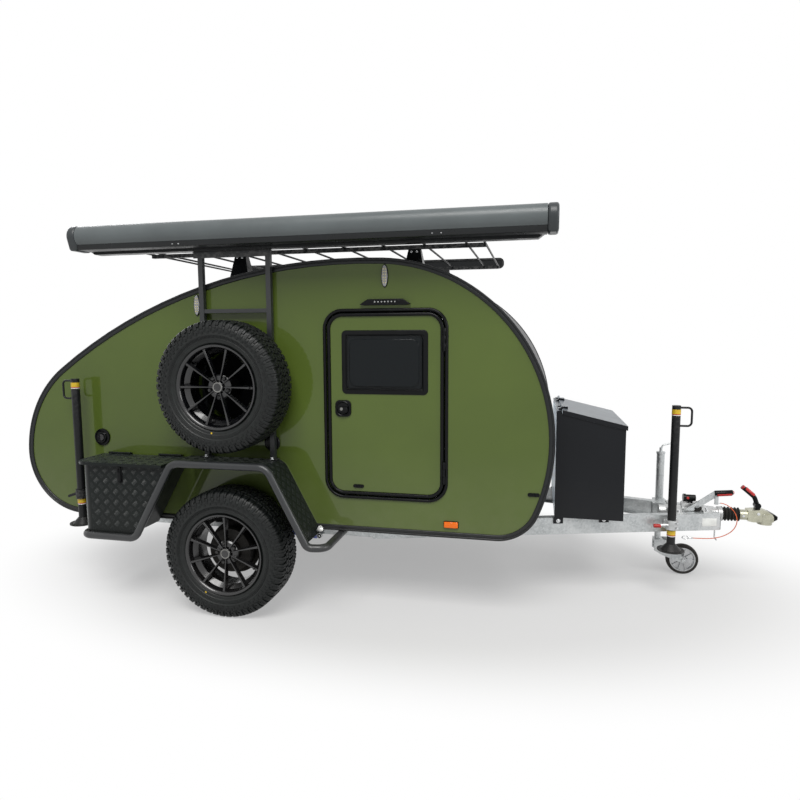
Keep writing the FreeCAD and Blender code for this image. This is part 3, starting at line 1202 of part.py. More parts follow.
def rear_lamps():
    """Lamp clusters on the rear valance."""
    y = (430.0, 650.0)
    z = (FLOOR_Z + 20, HATCH_BOTTOM_Z - 25)
    lamp = outline_slab(-16, y).cut(outline_slab(SKIN_INSET, grow(y, 1)))
    lamp = lamp.common(box((-FAR, -1000), y, z))
    return both_sides(lamp)


def plug_holder():
    """Parked plug of the lighting cable on its bracket."""
    bracket = box((2590, 2620), (-30, 10), (SHAFT_Z + 62, SHAFT_Z + 76))
    plug = Part.makeCylinder(20, 70, Vec(2568, -10, SHAFT_Z + 90), X_AXIS)
    cap = Part.makeCylinder(24, 14, Vec(2568, -10, SHAFT_Z + 90), X_AXIS)
    return fuse([bracket, plug, cap])


CABLE_R = 2.5
CABLE_POINTS = (
    (2750.0, -70.0, 562.0), (2778.0, -70.0, 562.0), (2814.0, -88.0, 546.0), (2842.0, -104.0, 508.0),
    (2850.0, -112.0, 460.0),
    (2828.0, -114.0, 410.0), (2780.0, -114.0, 374.0), (2722.0, -114.0, 355.0), (2660.0, -110.0, 349.0),
    (2596.0, -108.0, 348.0),
)


def cable_bends():
    """Each bend is as large as its two runs allow."""
    points = [Vec(*p) for p in CABLE_POINTS]
    bends = []
    for a, b, c in zip(points, points[1:], points[2:]):
        turn = (b - a).getAngle(c - b)
        bends.append(0.45 * min((b - a).Length, (c - b).Length) / math.tan(turn / 2))
    print("breakaway cable bend radii:", ", ".join(f"{bend:.0f}" for bend in bends))
    return bends


def breakaway_cable():
    return bent_tube(CABLE_POINTS, CABLE_R, cable_bends())


# ---------------------------------------------------------------- assembly
def build_parts():
    wheel_y = TRACK_HALF
    left_rim = at_wheel(rim(), 0, wheel_y, TYRE_R)
    left_tyre = at_wheel(tyre(), 0, wheel_y, TYRE_R)
    left_drum = at_wheel(hub_drum(), 0, wheel_y, TYRE_R)
    spare_rim = mirror(at_wheel(rim(), SPARE_X, SPARE_MID_Y, SPARE_Z))
    spare_tyre = mirror(at_wheel(tyre(), SPARE_X, SPARE_MID_Y, SPARE_Z))
    rear_leg = support_leg(REAR_LEG_X, REAR_LEG_Y, REAR_LEG_Z, -1)
    roof = roof_shell().cut(hatch_hinge_room())
    moving = {
        "door_panel": door_panel(), "door_fittings": Part.makeCompound([door_moulding(), door_lock()]),
        "window_frame": window_frame(), "window_pane": window_pane(), "storage_lid": storage_lid(),
        "rear_leg": rear_leg, "wheel_rim": left_rim, "wheel_tyre": left_tyre, "brake_drum": left_drum,
    }
    parts = {
        "chassis_frame": chassis_frame(),
        "axle_beam": axle_beam(),
        "shock_absorbers": shock_absorbers(),
        "mudguards": both_sides(mudguard().cut(guard_rail())),
        "guard_rails": both_sides(guard_rail()),
        "storage_boxes": both_sides(storage_box()),
        "side_walls": both_sides(side_wall()),
        "edge_trims": both_sides(edge_trim()),
        "roof_shell": fuse([roof] + roof_hinge_parts()),
        "rear_valance": rear_valance(),
        "cabin_floor": cabin_floor(),
        "galley_unit": galley_unit(),
        "mattress": mattress(),
        "door_frames": both_sides(door_frame()),
        "rear_hatch": rear_hatch(),
        "front_box": front_box(),
        "front_box_lid": front_box_lid(),
        "overrun_housing": overrun_housing(),
        "coupling_bellows": coupling_bellows(),
        "coupling_head": coupling_head(),
        "coupling_handle": coupling_handle().cut(coupling_head()),
        "handbrake_lever": handbrake_lever().cut(overrun_housing()),
        "jockey_tube": jockey_tube(),
        "jockey_inner_tube": jockey_inner_tube(),
        "jockey_fork": jockey_fork(),
        "jockey_wheel": jockey_wheel(),
        "leg_clamps": leg_clamps(),
        "front_leg": support_leg(FRONT_LEG_X, FRONT_LEG_Y, FRONT_LEG_Z, 1),
        "spare_ladder": spare_ladder(),
        "spare_rim": spare_rim,
        "spare_tyre": spare_tyre,
        "awning_case": awning_case(),
        "awning_caps": awning_caps(),
        "awning_rail": awning_rail(),
        "rack_rails": rack_rails(),
        "rack_rods": rack_rods(),
        "rack_feet": rack_feet(),
        "side_lamps": side_lamps(),
        "rear_lamps": rear_lamps(),
        "wall_fittings": wall_fittings(),
        "plug_holder": plug_holder(),
        "breakaway_cable": breakaway_cable(),
    }
    for name, shape in moving.items():
        parts[name + "_left"] = shape
        parts[name + "_right"] = mirror(shape)
    return parts


def main():
    mid_length = (TAIL_X + COUPLING_TIP_X) / 2
    print(f"mid length {mid_length:.3f}")
    os.makedirs("parts", exist_ok=True)
    for name, shape in build_parts().items():
        placed = shape.copy()
        placed.translate(Vec(-mid_length, 0, 0))
        placed.exportStep(f"parts/{name}.step")
        print(f"{name}: {len(placed.Solids)} solids, {placed.Volume / 1e6:.2f} dm3, valid {placed.isValid()}")


main()
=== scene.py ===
# %% [markdown]
# # An off-road teardrop trailer
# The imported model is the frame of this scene: it says where every panel, pipe and wheel is, and
# which body carries it. Each cell below either gives one of its nodes a better surface, or models
# a piece in more detail and lets it stand for the node. The operators are those that a person
# would use at the keyboard, so each step can be tried by hand too.

# %% Load the frame
import json
import math
import bpy
from mathutils import Matrix, Vector

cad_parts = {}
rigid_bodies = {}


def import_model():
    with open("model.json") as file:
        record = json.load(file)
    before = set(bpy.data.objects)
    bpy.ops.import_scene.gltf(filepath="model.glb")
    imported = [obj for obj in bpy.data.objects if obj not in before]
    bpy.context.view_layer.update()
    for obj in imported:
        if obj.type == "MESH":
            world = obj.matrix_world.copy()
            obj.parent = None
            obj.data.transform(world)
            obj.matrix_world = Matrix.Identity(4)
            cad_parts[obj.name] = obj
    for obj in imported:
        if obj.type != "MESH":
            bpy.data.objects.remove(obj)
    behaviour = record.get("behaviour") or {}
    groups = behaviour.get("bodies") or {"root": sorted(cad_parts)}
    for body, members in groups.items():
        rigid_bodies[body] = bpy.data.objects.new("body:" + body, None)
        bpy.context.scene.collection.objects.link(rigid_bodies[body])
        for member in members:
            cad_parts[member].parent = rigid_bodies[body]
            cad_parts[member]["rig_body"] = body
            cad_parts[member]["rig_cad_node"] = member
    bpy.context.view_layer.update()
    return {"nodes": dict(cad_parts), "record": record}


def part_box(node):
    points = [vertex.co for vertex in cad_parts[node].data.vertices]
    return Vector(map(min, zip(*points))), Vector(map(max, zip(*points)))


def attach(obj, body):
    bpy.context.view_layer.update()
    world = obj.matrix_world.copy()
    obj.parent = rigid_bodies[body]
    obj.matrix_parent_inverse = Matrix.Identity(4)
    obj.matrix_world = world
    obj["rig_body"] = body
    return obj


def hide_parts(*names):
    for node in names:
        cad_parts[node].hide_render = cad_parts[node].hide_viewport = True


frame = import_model()
nodes = frame["nodes"]
bpy.ops.object.select_all(action="DESELECT")

# %% [markdown]
# ## Working from the axle
# A trailer is measured from its axle, in millimetres: x forwards, y to the left, z up from the
# ground. Blender works in metres, in the frame's own axes, so one short function turns the first
# into the second. The wheel's box gives the place of the axle.

# %% Places along the trailer
MM = 0.001
wheel_low, wheel_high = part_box("wheel_tyre_left")
AXLE = (wheel_low + wheel_high) / 2
SIDES = {"left": 1, "right": -1}


def at(x, y, z):
    """A point given in millimetres from the axle line, the middle plane and the ground."""
    return Vector((AXLE.x + x * MM, y * MM, z * MM))


def spans(node):
    """The (low, high) pairs of a node's box in the same measure."""
    low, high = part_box(node)
    return [((a - o) / MM, (b - o) / MM) for a, b, o in zip(low, high, (AXLE.x, 0, 0))]


ORIGIN = at(0, 0, 0)
print("the axle is at", [round(value, 4) for value in AXLE])

# %% [markdown]
# ## The camera
# The trailer is seen from its right side, a little above the door handle's height, with the lens
# turned slightly towards the tail. The camera comes first, because it decides how much of each
# piece is seen.

# %% Set the camera
CAMERA_PLACE, CAMERA_TURNS, CAMERA_LENS = (0.85526, -3.95855, 1.56447), (84.0, 0.2486, 12.634), 27.36
bpy.ops.object.camera_add(location=CAMERA_PLACE, rotation=[math.radians(turn) for turn in CAMERA_TURNS])
camera = bpy.context.object
camera.name = "camera"
camera.data.lens = CAMERA_LENS
camera.data.clip_end = 200
bpy.context.scene.camera = camera

# %% [markdown]
# ## Breakaway cable
# The one free cord is the orange cable that pulls the brake on if the coupling lets go. It leaves
# the handbrake's lug, hangs in a loop below the coupling and ends in a snap hook near the beam. Its
# line is a smooth spline with the route's points as control points. The bevel is 1 m deep and each
# point's radius scales it down to the cable's own, because a curve's box is measured by the radius.

# %% Draw the cable
CABLE_RADIUS = 2.5
CABLE_POINTS = ((2750, -70, 562), (2778, -70, 562), (2814, -88, 546), (2842, -104, 508),
                (2850, -112, 460), (2828, -114, 410), (2780, -114, 374), (2722, -114, 355),
                (2660, -110, 349), (2596, -108, 348))
cable_data = bpy.data.curves.new("cable", "CURVE")
cable_data.dimensions = "3D"
cable_data.bevel_depth = 1.0
cable_data.bevel_resolution = 4
cable_data.resolution_u = 12
cable_data.use_fill_caps = True
route = cable_data.splines.new("NURBS")
route.points.add(len(CABLE_POINTS) - 1)
for point, place_on_route in zip(route.points, CABLE_POINTS):
    point.co = (*at(*place_on_route), 1)
    point.radius = CABLE_RADIUS * MM
route.order_u = 3
route.use_endpoint_u = True
cable = bpy.data.objects.new("cable", cable_data)
bpy.context.scene.collection.objects.link(cable)


def route_length():
    """Length of the cable's centre line in metres, read from the spline itself."""
    line = cable_data.copy()
    line.bevel_depth = 0
    helper = bpy.data.objects.new("helper", line)
    mesh = bpy.data.meshes.new_from_object(helper)
    points = [vertex.co.copy() for vertex in mesh.vertices]
    bpy.data.objects.remove(helper)
    return sum((b - a).length for a, b in zip(points, points[1:]))


print("cable:", round(route_length(), 3), "m")

# %% [markdown]
# ## Picking and finishing a mesh
# Operators act on what is selected, so these helpers choose one piece, give it its name, and
# settle its place, turn and size into its mesh. A finished object then sits at the origin, as the
# frame's own nodes do.

# %% Helpers for objects


def only(*pieces):
    """Select these pieces and make the first one active."""
    bpy.ops.object.select_all(action="DESELECT")
    for piece in pieces:
        piece.select_set(True)
    bpy.context.view_layer.objects.active = pieces[0]


def added(name):
    """The object that an operator has just made, named and settled."""
    piece = bpy.context.object
    piece.name = piece.data.name = name
    only(piece)
    bpy.ops.object.transform_apply(location=True, rotation=True, scale=True)
    return piece


def join(name, pieces):
    """Several meshes as one piece."""
    only(*pieces)
    if len(pieces) > 1:
        bpy.ops.object.join()
    pieces[0].name = pieces[0].data.name = name
    return pieces[0]


def twin(piece, name):
    """A copy with a mesh of its own."""
    copy = piece.copy()
    copy.data = piece.data.copy()
    copy.name = copy.data.name = name
    bpy.context.scene.collection.objects.link(copy)
    return copy


def moved(piece, matrix):
    """Move, turn or mirror a finished mesh in place. A mirrored one is turned right side out."""
    piece.data.transform(matrix)
    if matrix.determinant() < 0:
        piece.data.flip_normals()
    return piece


MIRROR = Matrix.Scale(-1, 4, (0, 1, 0))
TO_ORIGIN = Matrix.Translation(-ORIGIN)


def modify(piece, kind, **settings):
    """Add one modifier and apply it."""
    modifier = piece.modifiers.new(kind.title(), kind)
    for key, value in settings.items():
        setattr(modifier, key, value)
    only(piece)
    bpy.ops.object.modifier_apply(modifier=modifier.name)
    return piece


def smooth(piece, angle=32):
    only(piece)
    bpy.ops.object.shade_smooth_by_angle(angle=math.radians(angle))
    return piece


def soften(piece, width, segments=2, angle=32):
    """Round the edges that are sharper than `angle`, by `width` millimetres."""
    modify(piece, "BEVEL", width=width * MM, segments=segments, limit_method="ANGLE",
           angle_limit=math.radians(angle), use_clamp_overlap=True, miter_outer="MITER_ARC")
    return smooth(piece, angle)


# %% [markdown]
# ## First shapes
# Most small fittings start as a box or a bar. The helpers add Blender's primitive at its real size
# and place and then round its edges, because no edge on a real part is perfectly sharp, and the
# round is what catches the light.

# %% Boxes and bars


def block(name, x, y, z, edge=1.5, segments=2):
    """A box between three (low, high) spans, with rounded edges."""
    bpy.ops.mesh.primitive_cube_add(size=1, location=at(*[sum(span) / 2 for span in (x, y, z)]))
    bpy.context.object.scale = [(span[1] - span[0]) * MM for span in (x, y, z)]
    piece = added(name)
    return soften(piece, edge, segments) if edge else piece


def bar(name, start, end, radius, edge=1.0, sides=32, tip=None):
    """A round bar between two points, or a cone where its tip has another radius."""
    a, b = at(*start), at(*end)
    bpy.ops.mesh.primitive_cone_add(
        vertices=sides, radius1=radius * MM, radius2=(radius if tip is None else tip) * MM,
        depth=(b - a).length, location=(a + b) / 2, rotation=(b - a).to_track_quat("Z", "Y").to_euler())
    piece = added(name)
    return soften(piece, edge) if edge else smooth(piece)


def upright(name, place, low, high, *shape):
    """A bar that stands over the point (x, y)."""
    return bar(name, (*place, low), (*place, high), *shape)


# %% [markdown]
# ## Drawing an outline
# A moulding is drawn first as a line: one vertex is extruded from place to place, then the line is
# spun round an axis or filled and pulled out. `outline` starts from a plane merged to a single
# vertex, because Blender has no primitive for a point.

# %% Outlines, spun and pulled out


def outline(name, points, close=False):
    """A line of vertices through the points, in metres, left in edit mode."""
    bpy.ops.mesh.primitive_plane_add(size=0.001, location=points[0])
    bpy.ops.object.transform_apply(location=True, rotation=True, scale=True)
    bpy.ops.object.mode_set(mode="EDIT")
    bpy.ops.mesh.select_mode(type="VERT")
    bpy.ops.mesh.merge(type="CENTER")
    for before, after in zip(points, points[1:]):
        bpy.ops.mesh.extrude_region_move(
            TRANSFORM_OT_translate={"value": Vector(after) - Vector(before)})
    bpy.ops.mesh.select_all(action="SELECT")
    if close:
        bpy.ops.mesh.edge_face_add()
    bpy.context.object.name = name
    return bpy.context.object


def finish_edit():
    """Merge doubles, turn the faces outwards and leave edit mode."""
    bpy.ops.mesh.select_all(action="SELECT")
    bpy.ops.mesh.remove_doubles(threshold=1e-5)
    bpy.ops.mesh.normals_make_consistent(inside=False)
    bpy.ops.object.mode_set(mode="OBJECT")


def turned(name, profile, centre, axis, steps=64, angle=40):
    """A profile of (radius, offset) points, spun round an axis through the centre."""
    axis, centre = Vector(axis), at(*centre)
    out = Vector((1, 0, 0)) if abs(axis.x) < 0.9 else Vector((0, 0, 1))
    outline(name, [centre + out * r * MM + axis * w * MM for r, w in profile])
    bpy.ops.mesh.spin(steps=steps, angle=math.tau, center=centre, axis=axis)
    finish_edit()
    return smooth(added(name), angle)


def slab(name, points, y, edge=1.0, segments=2):
    """A closed outline of (x, z) points in the side view, filled and pulled out from y[0] to y[1]."""
    outline(name, [at(px, y[0], pz) for px, pz in points], close=True)
    bpy.ops.mesh.extrude_region_move(TRANSFORM_OT_translate={"value": (0, (y[1] - y[0]) * MM, 0)})
    finish_edit()
    piece = added(name)
    return soften(piece, edge, segments) if edge else smooth(piece)


def rounded(x, z, corner, steps=7):
    """Points of a rectangle in the side view with round corners, counter-clockwise."""
    points = []
    for cx, cz, first in ((x[1] - corner, z[0] + corner, -90), (x[1] - corner, z[1] - corner, 0),
                          (x[0] + corner, z[1] - corner, 90), (x[0] + corner, z[0] + corner, 180)):
        for k in range(steps + 1):
            a = math.radians(first + 90 * k / steps)
            points.append((cx + corner * math.cos(a), cz + corner * math.sin(a)))
    return points


# %% [markdown]
# ## Mouldings that follow a line
# A trim or a frame is one cross-section carried round an outline. In Blender that is a curve with
# another curve as its bevel object. It is made in the top view, where a flat curve keeps its
# cross-section upright, then stood up on the trailer's side and turned into a mesh.

# %% Carry a section round an outline


def flat_curve(name, points):
    curve = bpy.data.curves.new(name, "CURVE")
    curve.dimensions = "2D"
    curve.fill_mode = "NONE"
    spline = curve.splines.new("POLY")
    spline.points.add(len(points) - 1)
    for point, (u, v) in zip(spline.points, points):
        point.co = (u * MM, v * MM, 0, 1)
    spline.use_cyclic_u = True
    item = bpy.data.objects.new(name, curve)
    bpy.context.scene.collection.objects.link(item)
    return item


def moulding(name, line, section, y, side=1, angle=40):
    """Carry a section of (inwards, proud) points round a closed (x, z) line on one side."""
    path, cross = flat_curve(name, line), flat_curve("section", section)
    path.data.bevel_mode = "OBJECT"
    path.data.bevel_object = cross
    only(path)
    bpy.ops.object.convert(target="MESH")
    bpy.data.objects.remove(cross)
    stand = Matrix(((1, 0, 0, ORIGIN.x), (0, 0, side, side * y * MM), (0, 1, 0, 0), (0, 0, 0, 1)))
    piece = bpy.context.object
    piece.data.transform(stand)
    bpy.ops.object.mode_set(mode="EDIT")
    finish_edit()
    return smooth(added(name), angle)


# %% [markdown]
# ## Riding, slots and surfaces
# Each piece rides on the body that carries it, takes a material slot with its finish, and hides
# the nodes of the frame that it stands for. One function does all of that in one line per piece.

# %% Put a piece on its body
finishes = {}
WELD, FLAT_TURN, EDGE_TURN = 2e-5, 0.5, 28


def fit(piece, body, finish, stands_for=()):
    """Ride on a body, take a slot and a finish, and stand for the named nodes."""
    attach(piece, body)
    if piece.type == "MESH":
        piece.data.materials.clear()
    piece.data.materials.append(finishes[finish])
    if stands_for:
        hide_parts(*stands_for)
    return piece


def body_of(node):
    """The frame's body that a node belongs to."""
    bodies = frame["record"]["behaviour"]["bodies"]
    return next(body for body, members in bodies.items() if node in members)


def recut(node, name, width, finish, segments=2, flat=True):
    """A copy of a node with its triangles merged into faces and its edges rounded.

    Weighted normals keep a large flat face evenly lit up to its rounded edge.
    """
    piece = twin(nodes[node], name)
    piece.parent = None
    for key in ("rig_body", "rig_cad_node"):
        del piece[key]
    piece.hide_render = piece.hide_viewport = False
    only(piece)
    bpy.ops.object.mode_set(mode="EDIT")
    bpy.ops.mesh.select_all(action="SELECT")
    bpy.ops.mesh.customdata_custom_splitnormals_clear()
    bpy.ops.mesh.remove_doubles(threshold=WELD)
    bpy.ops.mesh.dissolve_limited(angle_limit=math.radians(FLAT_TURN))
    bpy.ops.object.mode_set(mode="OBJECT")
    soften(piece, width, segments, EDGE_TURN)
    if flat:
        modify(piece, "WEIGHTED_NORMAL", keep_sharp=True)
    return fit(piece, body_of(node), finish, [node])

# %% [markdown]
# ## Finishes
# A finish starts from the Principled shader's own sockets, which set the plain values. Textures on
# Object coordinates then add what a flat colour lacks: drift in the colour, patches that shine
# less, fine relief, dust that gathers low down, and paint that thins out on edges.

# %% Helpers for finishes


def surface(name, colour, roughness, metal=0.0, **sockets):
    """A new finish with its plain values. `sockets` are the shader's inputs, _ for a space."""
    material = bpy.data.materials.new(name)
    material.use_nodes = True
    shader = material.node_tree.nodes["Principled BSDF"]
    values = {"Base Color": (*colour, 1), "Roughness": roughness, "Metallic": metal}
    values.update({key.replace("_", " "): value for key, value in sockets.items()})
    for key, value in values.items():
        shader.inputs[key].default_value = value
    material.diffuse_color = (*colour, 1)
    finishes[name] = material
    return material


def add_node(material, kind, inputs=(), **settings):
    """A shader node with its settings; inputs are (socket, value or output) pairs."""
    item = material.node_tree.nodes.new("ShaderNode" + kind)
    for key, value in settings.items():
        setattr(item, key, value)
    for socket, value in inputs:
        if isinstance(value, bpy.types.NodeSocket):
            material.node_tree.links.new(value, item.inputs[socket])
        else:
            item.inputs[socket].default_value = value
    return item


def shader_input(material, socket, output):
    shader = material.node_tree.nodes["Principled BSDF"]
    material.node_tree.links.new(output, shader.inputs[socket])


def place(material):
    """Object coordinates."""
    return add_node(material, "TexCoord").outputs["Object"]


def cloud(material, scale, detail=3.0, stretch=(1, 1, 1), rough=0.55):
    """Soft noise, `scale` waves a metre."""
    put = add_node(material, "Mapping", [("Vector", place(material)), ("Scale", stretch)])
    inputs = [("Vector", put.outputs[0]), ("Scale", scale), ("Detail", detail), ("Roughness", rough)]
    return add_node(material, "TexNoise", inputs).outputs[0]


def cells(material, scale):
    """Voronoi cells, `scale` a metre."""
    return add_node(material, "TexVoronoi", [("Vector", place(material)), ("Scale", scale)])


def between(material, factor, low, high, start=0.35, end=0.65):
    """A number that goes from low to high as the factor goes from start to end."""
    return add_node(material, "MapRange", [("Value", factor), ("From Min", start), ("From Max", end),
                                           ("To Min", low), ("To Max", high)]).outputs[0]


def mixed(material, factor, low, high):
    """Two colours, or outputs, mixed by a factor."""
    mix = add_node(material, "Mix", data_type="RGBA")
    for slot, value in ((0, factor), (6, low), (7, high)):
        if isinstance(value, bpy.types.NodeSocket):
            material.node_tree.links.new(value, mix.inputs[slot])
        else:
            mix.inputs[slot].default_value = value if slot == 0 else (*value, 1)
    return mix.outputs[2]


def relief(material, *heights):
    """Bump from (output, depth in mm) pairs, one over another."""
    normal = None
    for height, depth in heights:
        inputs = [("Height", height), ("Distance", depth * MM), ("Strength", 1.0)]
        bump = add_node(material, "Bump", inputs + ([("Normal", normal)] if normal else []))
        normal = bump.outputs[0]
    shader_input(material, "Normal", normal)


DUST = (0.33, 0.30, 0.26)


def weathered(material, colour, drift, roughness, dust=0.0, wear=None, patch=9.0, ground=(0.25, 0.75)):
    """Colour that drifts, uneven shine, dust that thins out with height, and lighter worn edges."""
    slow = cloud(material, patch)
    light = [min(1.0, c * (1 + drift)) for c in colour]
    dark = [c * (1 - drift) for c in colour]
    shade = mixed(material, between(material, slow, 0, 1), dark, light)
    if wear:
        point = add_node(material, "NewGeometry").outputs["Pointiness"]
        scuff = add_node(material, "Math", [(0, between(material, point, 0, 1, 0.515, 0.56)),
                                            (1, between(material, cloud(material, 60), 0, 1, 0.45, 0.6))],
                         operation="MULTIPLY").outputs[0]
        shade = mixed(material, scuff, shade, wear)
    if dust:
        rise = add_node(material, "SeparateXYZ", [("Vector", place(material))]).outputs["Z"]
        low = between(material, rise, dust, 0.0, *ground)
        spots = between(material, cloud(material, 14, 3.0), 0.4, 1.0, 0.2, 0.8)
        film = add_node(material, "Math", [(0, low), (1, spots)], operation="MULTIPLY").outputs[0]
        shade = mixed(material, film, shade, DUST)
    shader_input(material, "Base Color", shade)
    fine = cloud(material, patch * 4, 4.0)
    shader_input(material, "Roughness", between(material, fine, roughness[0], roughness[1]))
    return material


# %% [markdown]
# ## Paint, powder coat and plastic
# The walls have a smooth lacquer over olive green: a clear coat gives the sharp reflections, and a
# very shallow, slow relief the slight waviness of a painted sandwich panel. The steelwork has a
# powder coat, which is duller and has a fine grain.

# %% Painted finishes
OLIVE = (0.0806, 0.1197, 0.0199)
paint = surface("olive_lacquer", OLIVE, 0.32, Specular_IOR_Level=0.1, Coat_Weight=0.55, Coat_Roughness=0.03)
weathered(paint, OLIVE, 0.05, (0.28, 0.38), dust=0.12, patch=1.6, ground=(0.4, 0.95))
relief(paint, (cloud(paint, 2.2, 1.0), 1.6), (cloud(paint, 420, 1.0), 0.006))

for name, colour, rough, shine, grain, depth, dust, wear in (
        ("powder_black", (0.008, 0.009, 0.010), (0.34, 0.46), 0.22, 900, 0.02, 0.05, (0.05, 0.05, 0.05)),
        ("rail_coat", (0.018, 0.020, 0.022), (0.28, 0.38), 0.55, 900, 0.02, 0.05, (0.07, 0.07, 0.07)),
        ("plate_black", (0.0045, 0.0068, 0.0064), (0.34, 0.46), 0.14, 700, 0.012, 0.03, None),
        # The bars are a lighter black than the plate they are pressed from: a painted highlight, as if light
        # caught their flanks.
        ("tread_bars", (0.0080, 0.0108, 0.0104), (0.26, 0.36), 0.26, 700, 0.012, 0.0, None),
        ("satin_trim", (0.010, 0.0115, 0.0125), (0.26, 0.38), 0.3, 600, 0.01, 0.05, None),
        ("roof_skin", (0.026, 0.028, 0.030), (0.43, 0.48), 0.4, 350, 0.04, 0.03, None),
        # The case's grey is lighter than its dark paint: partly its own colour, partly a painted reflection
        # of the sky.
        ("anthracite", (0.108, 0.124, 0.128), (0.3, 0.4), 0.4, 800, 0.01, 0.0, None),
        ("cap_grey", (0.034, 0.040, 0.043), (0.3, 0.4), 0.4, 800, 0.01, 0.0, None),
        ("moulded_black", (0.004, 0.0045, 0.005), (0.15, 0.24), 0.14, 1200, 0.01, 0.0, None),
        ("sprayed_coat", (0.007, 0.008, 0.010), (0.4, 0.52), 0.14, 330, 0.10, 0.03, None),
        ("rubber", (0.008, 0.008, 0.008), (0.5, 0.66), 0.2, 500, 0.03, 0.10, None)):
    weathered(surface(name, colour, rough[0], Specular_IOR_Level=shine), colour, 0.08, rough,
              dust=dust, wear=wear, patch=3)
    relief(finishes[name], (cloud(finishes[name], grain, 2.0), depth))

# Seen at a low angle these coats turn pale. The sheen is the fine dust on them, and a clear coat of
# low refraction reflects the surroundings there and hardly lightens a face that is seen squarely.
for name, dusty, clear, tint in (
        ("sprayed_coat", 1.0, 1.0, (0.80, 0.90, 1.0)), ("plate_black", 0.3, 0.6, (0.9, 1.0, 0.97)),
        ("tread_bars", 0.4, 0.6, (0.9, 1.0, 0.97))):
    for socket, value in (("Sheen Weight", dusty), ("Sheen Roughness", 0.25), ("Sheen Tint", (*tint, 1)),
                          ("Coat Weight", clear), ("Coat IOR", 1.15), ("Coat Roughness", 0.2)):
        finishes[name].node_tree.nodes["Principled BSDF"].inputs[socket].default_value = value

RIM_BLACK = (0.0018, 0.002, 0.0028)
rim_paint = surface("rim_lacquer", RIM_BLACK, 0.2, Specular_IOR_Level=0.5, Coat_Weight=0.5,
                    Coat_Roughness=0.05)
weathered(rim_paint, RIM_BLACK, 0.2, (0.22, 0.32), dust=0.02, patch=12)
# A near-black with almost no shine: painted shade, for the plate behind the spare's spokes.
PAINTED_SHADE_BLACK = (0.0012, 0.0013, 0.0016)
weathered(surface("dead_black", PAINTED_SHADE_BLACK, 0.8, Specular_IOR_Level=0.05), PAINTED_SHADE_BLACK, 0.2, (0.7, 0.9),
          patch=12)
BLUE = (0.012, 0.05, 0.42)
weathered(surface("damper_blue", BLUE, 0.25, Coat_Weight=0.6), BLUE, 0.1, (0.2, 0.35), dust=0.15)
for name, colour in (("red_plastic", (0.42, 0.012, 0.01)), ("yellow_paint", (0.62, 0.42, 0.02)),
                     ("white_paint", (0.72, 0.72, 0.70)), ("label_white", (0.74, 0.75, 0.73)),
                     ("label_grey", (0.46, 0.47, 0.465)), ("cable_orange", (0.62, 0.10, 0.02))):
    weathered(surface(name, colour, 0.35), colour, 0.08, (0.3, 0.45), patch=30)

# %% [markdown]
# ## Bare metal
# Hot-dip galvanised steel freezes in crystals, so its brightness changes from cell to cell of a
# Voronoi pattern, and a white bloom dulls it in patches. The coupling head is yellow zinc plate,
# bolts are bright zinc, and the cast overrun housing is silver.

# %% Metal finishes
ZINC_LOW, ZINC_HIGH = (0.40, 0.42, 0.425), (0.53, 0.55, 0.555)
zinc = surface("galvanised", ZINC_HIGH, 0.42, 0.85)
spangle = cells(zinc, 95)
grey = mixed(zinc, between(zinc, spangle.outputs["Color"], 0, 1, 0.1, 0.9), ZINC_LOW, ZINC_HIGH)
bloom = between(zinc, cloud(zinc, 7, 5.0), 0, 0.55, 0.45, 0.7)
shader_input(zinc, "Base Color", mixed(zinc, bloom, grey, (0.62, 0.63, 0.63)))
shader_input(zinc, "Roughness", between(zinc, cloud(zinc, 24, 4.0), 0.33, 0.58))
relief(zinc, (spangle.outputs["Distance"], 0.05), (cloud(zinc, 160, 3.0), 0.05))

for name, colour, rough, scale, depth in (
        ("cast_silver", (0.56, 0.57, 0.57), (0.36, 0.52), 260, 0.12),
        ("yellow_zinc", (0.46, 0.455, 0.36), (0.22, 0.38), 120, 0.04),
        ("bright_bolt", (0.62, 0.63, 0.64), (0.18, 0.32), 300, 0.02),
        ("cast_iron", (0.012, 0.012, 0.012), (0.55, 0.72), 320, 0.15),
        ("key_steel", (0.20, 0.20, 0.19), (0.2, 0.3), 300, 0.02),
        ("wheel_silver", (0.5, 0.51, 0.52), (0.3, 0.45), 200, 0.03)):
    metal = surface(name, colour, rough[0], 0.9)
    weathered(metal, colour, 0.16, rough, dust=0.08, patch=16)
    relief(metal, (cloud(metal, scale, 3.0), depth))

# %% [markdown]
# ## Glass and lenses
# The door windows are smoked acrylic, so almost nothing of the cabin shows, and the light grey bead
# round a pane is a painted highlight along the dome's edge. Lenses are coloured plastic with a thin
# clear coat.

# %% Transparent finishes
pane = surface("smoked_acrylic", (0.006, 0.009, 0.011), 0.06, Transmission_Weight=0.3,
               Specular_IOR_Level=0.05)
shader_input(pane, "Roughness", between(pane, cloud(pane, 12, 3.0), 0.04, 0.10))
for name, colour, weight in (
        ("amber_lens", (0.95, 0.17, 0.0), 0.1), ("red_lens", (0.5, 0.008, 0.008), 0.35),
        ("clear_lens", (0.75, 0.77, 0.78), 0.55), ("dark_lens", (0.03, 0.03, 0.032), 0.3)):
    lens = surface(name, colour, 0.12, Transmission_Weight=weight, Specular_IOR_Level=0.2, Coat_Weight=0.3,
                   Coat_Roughness=0.04)
    shader_input(lens, "Roughness", between(lens, cloud(lens, 90, 2.0), 0.08, 0.2))
    relief(lens, (cloud(lens, 240, 0.0), 0.05))
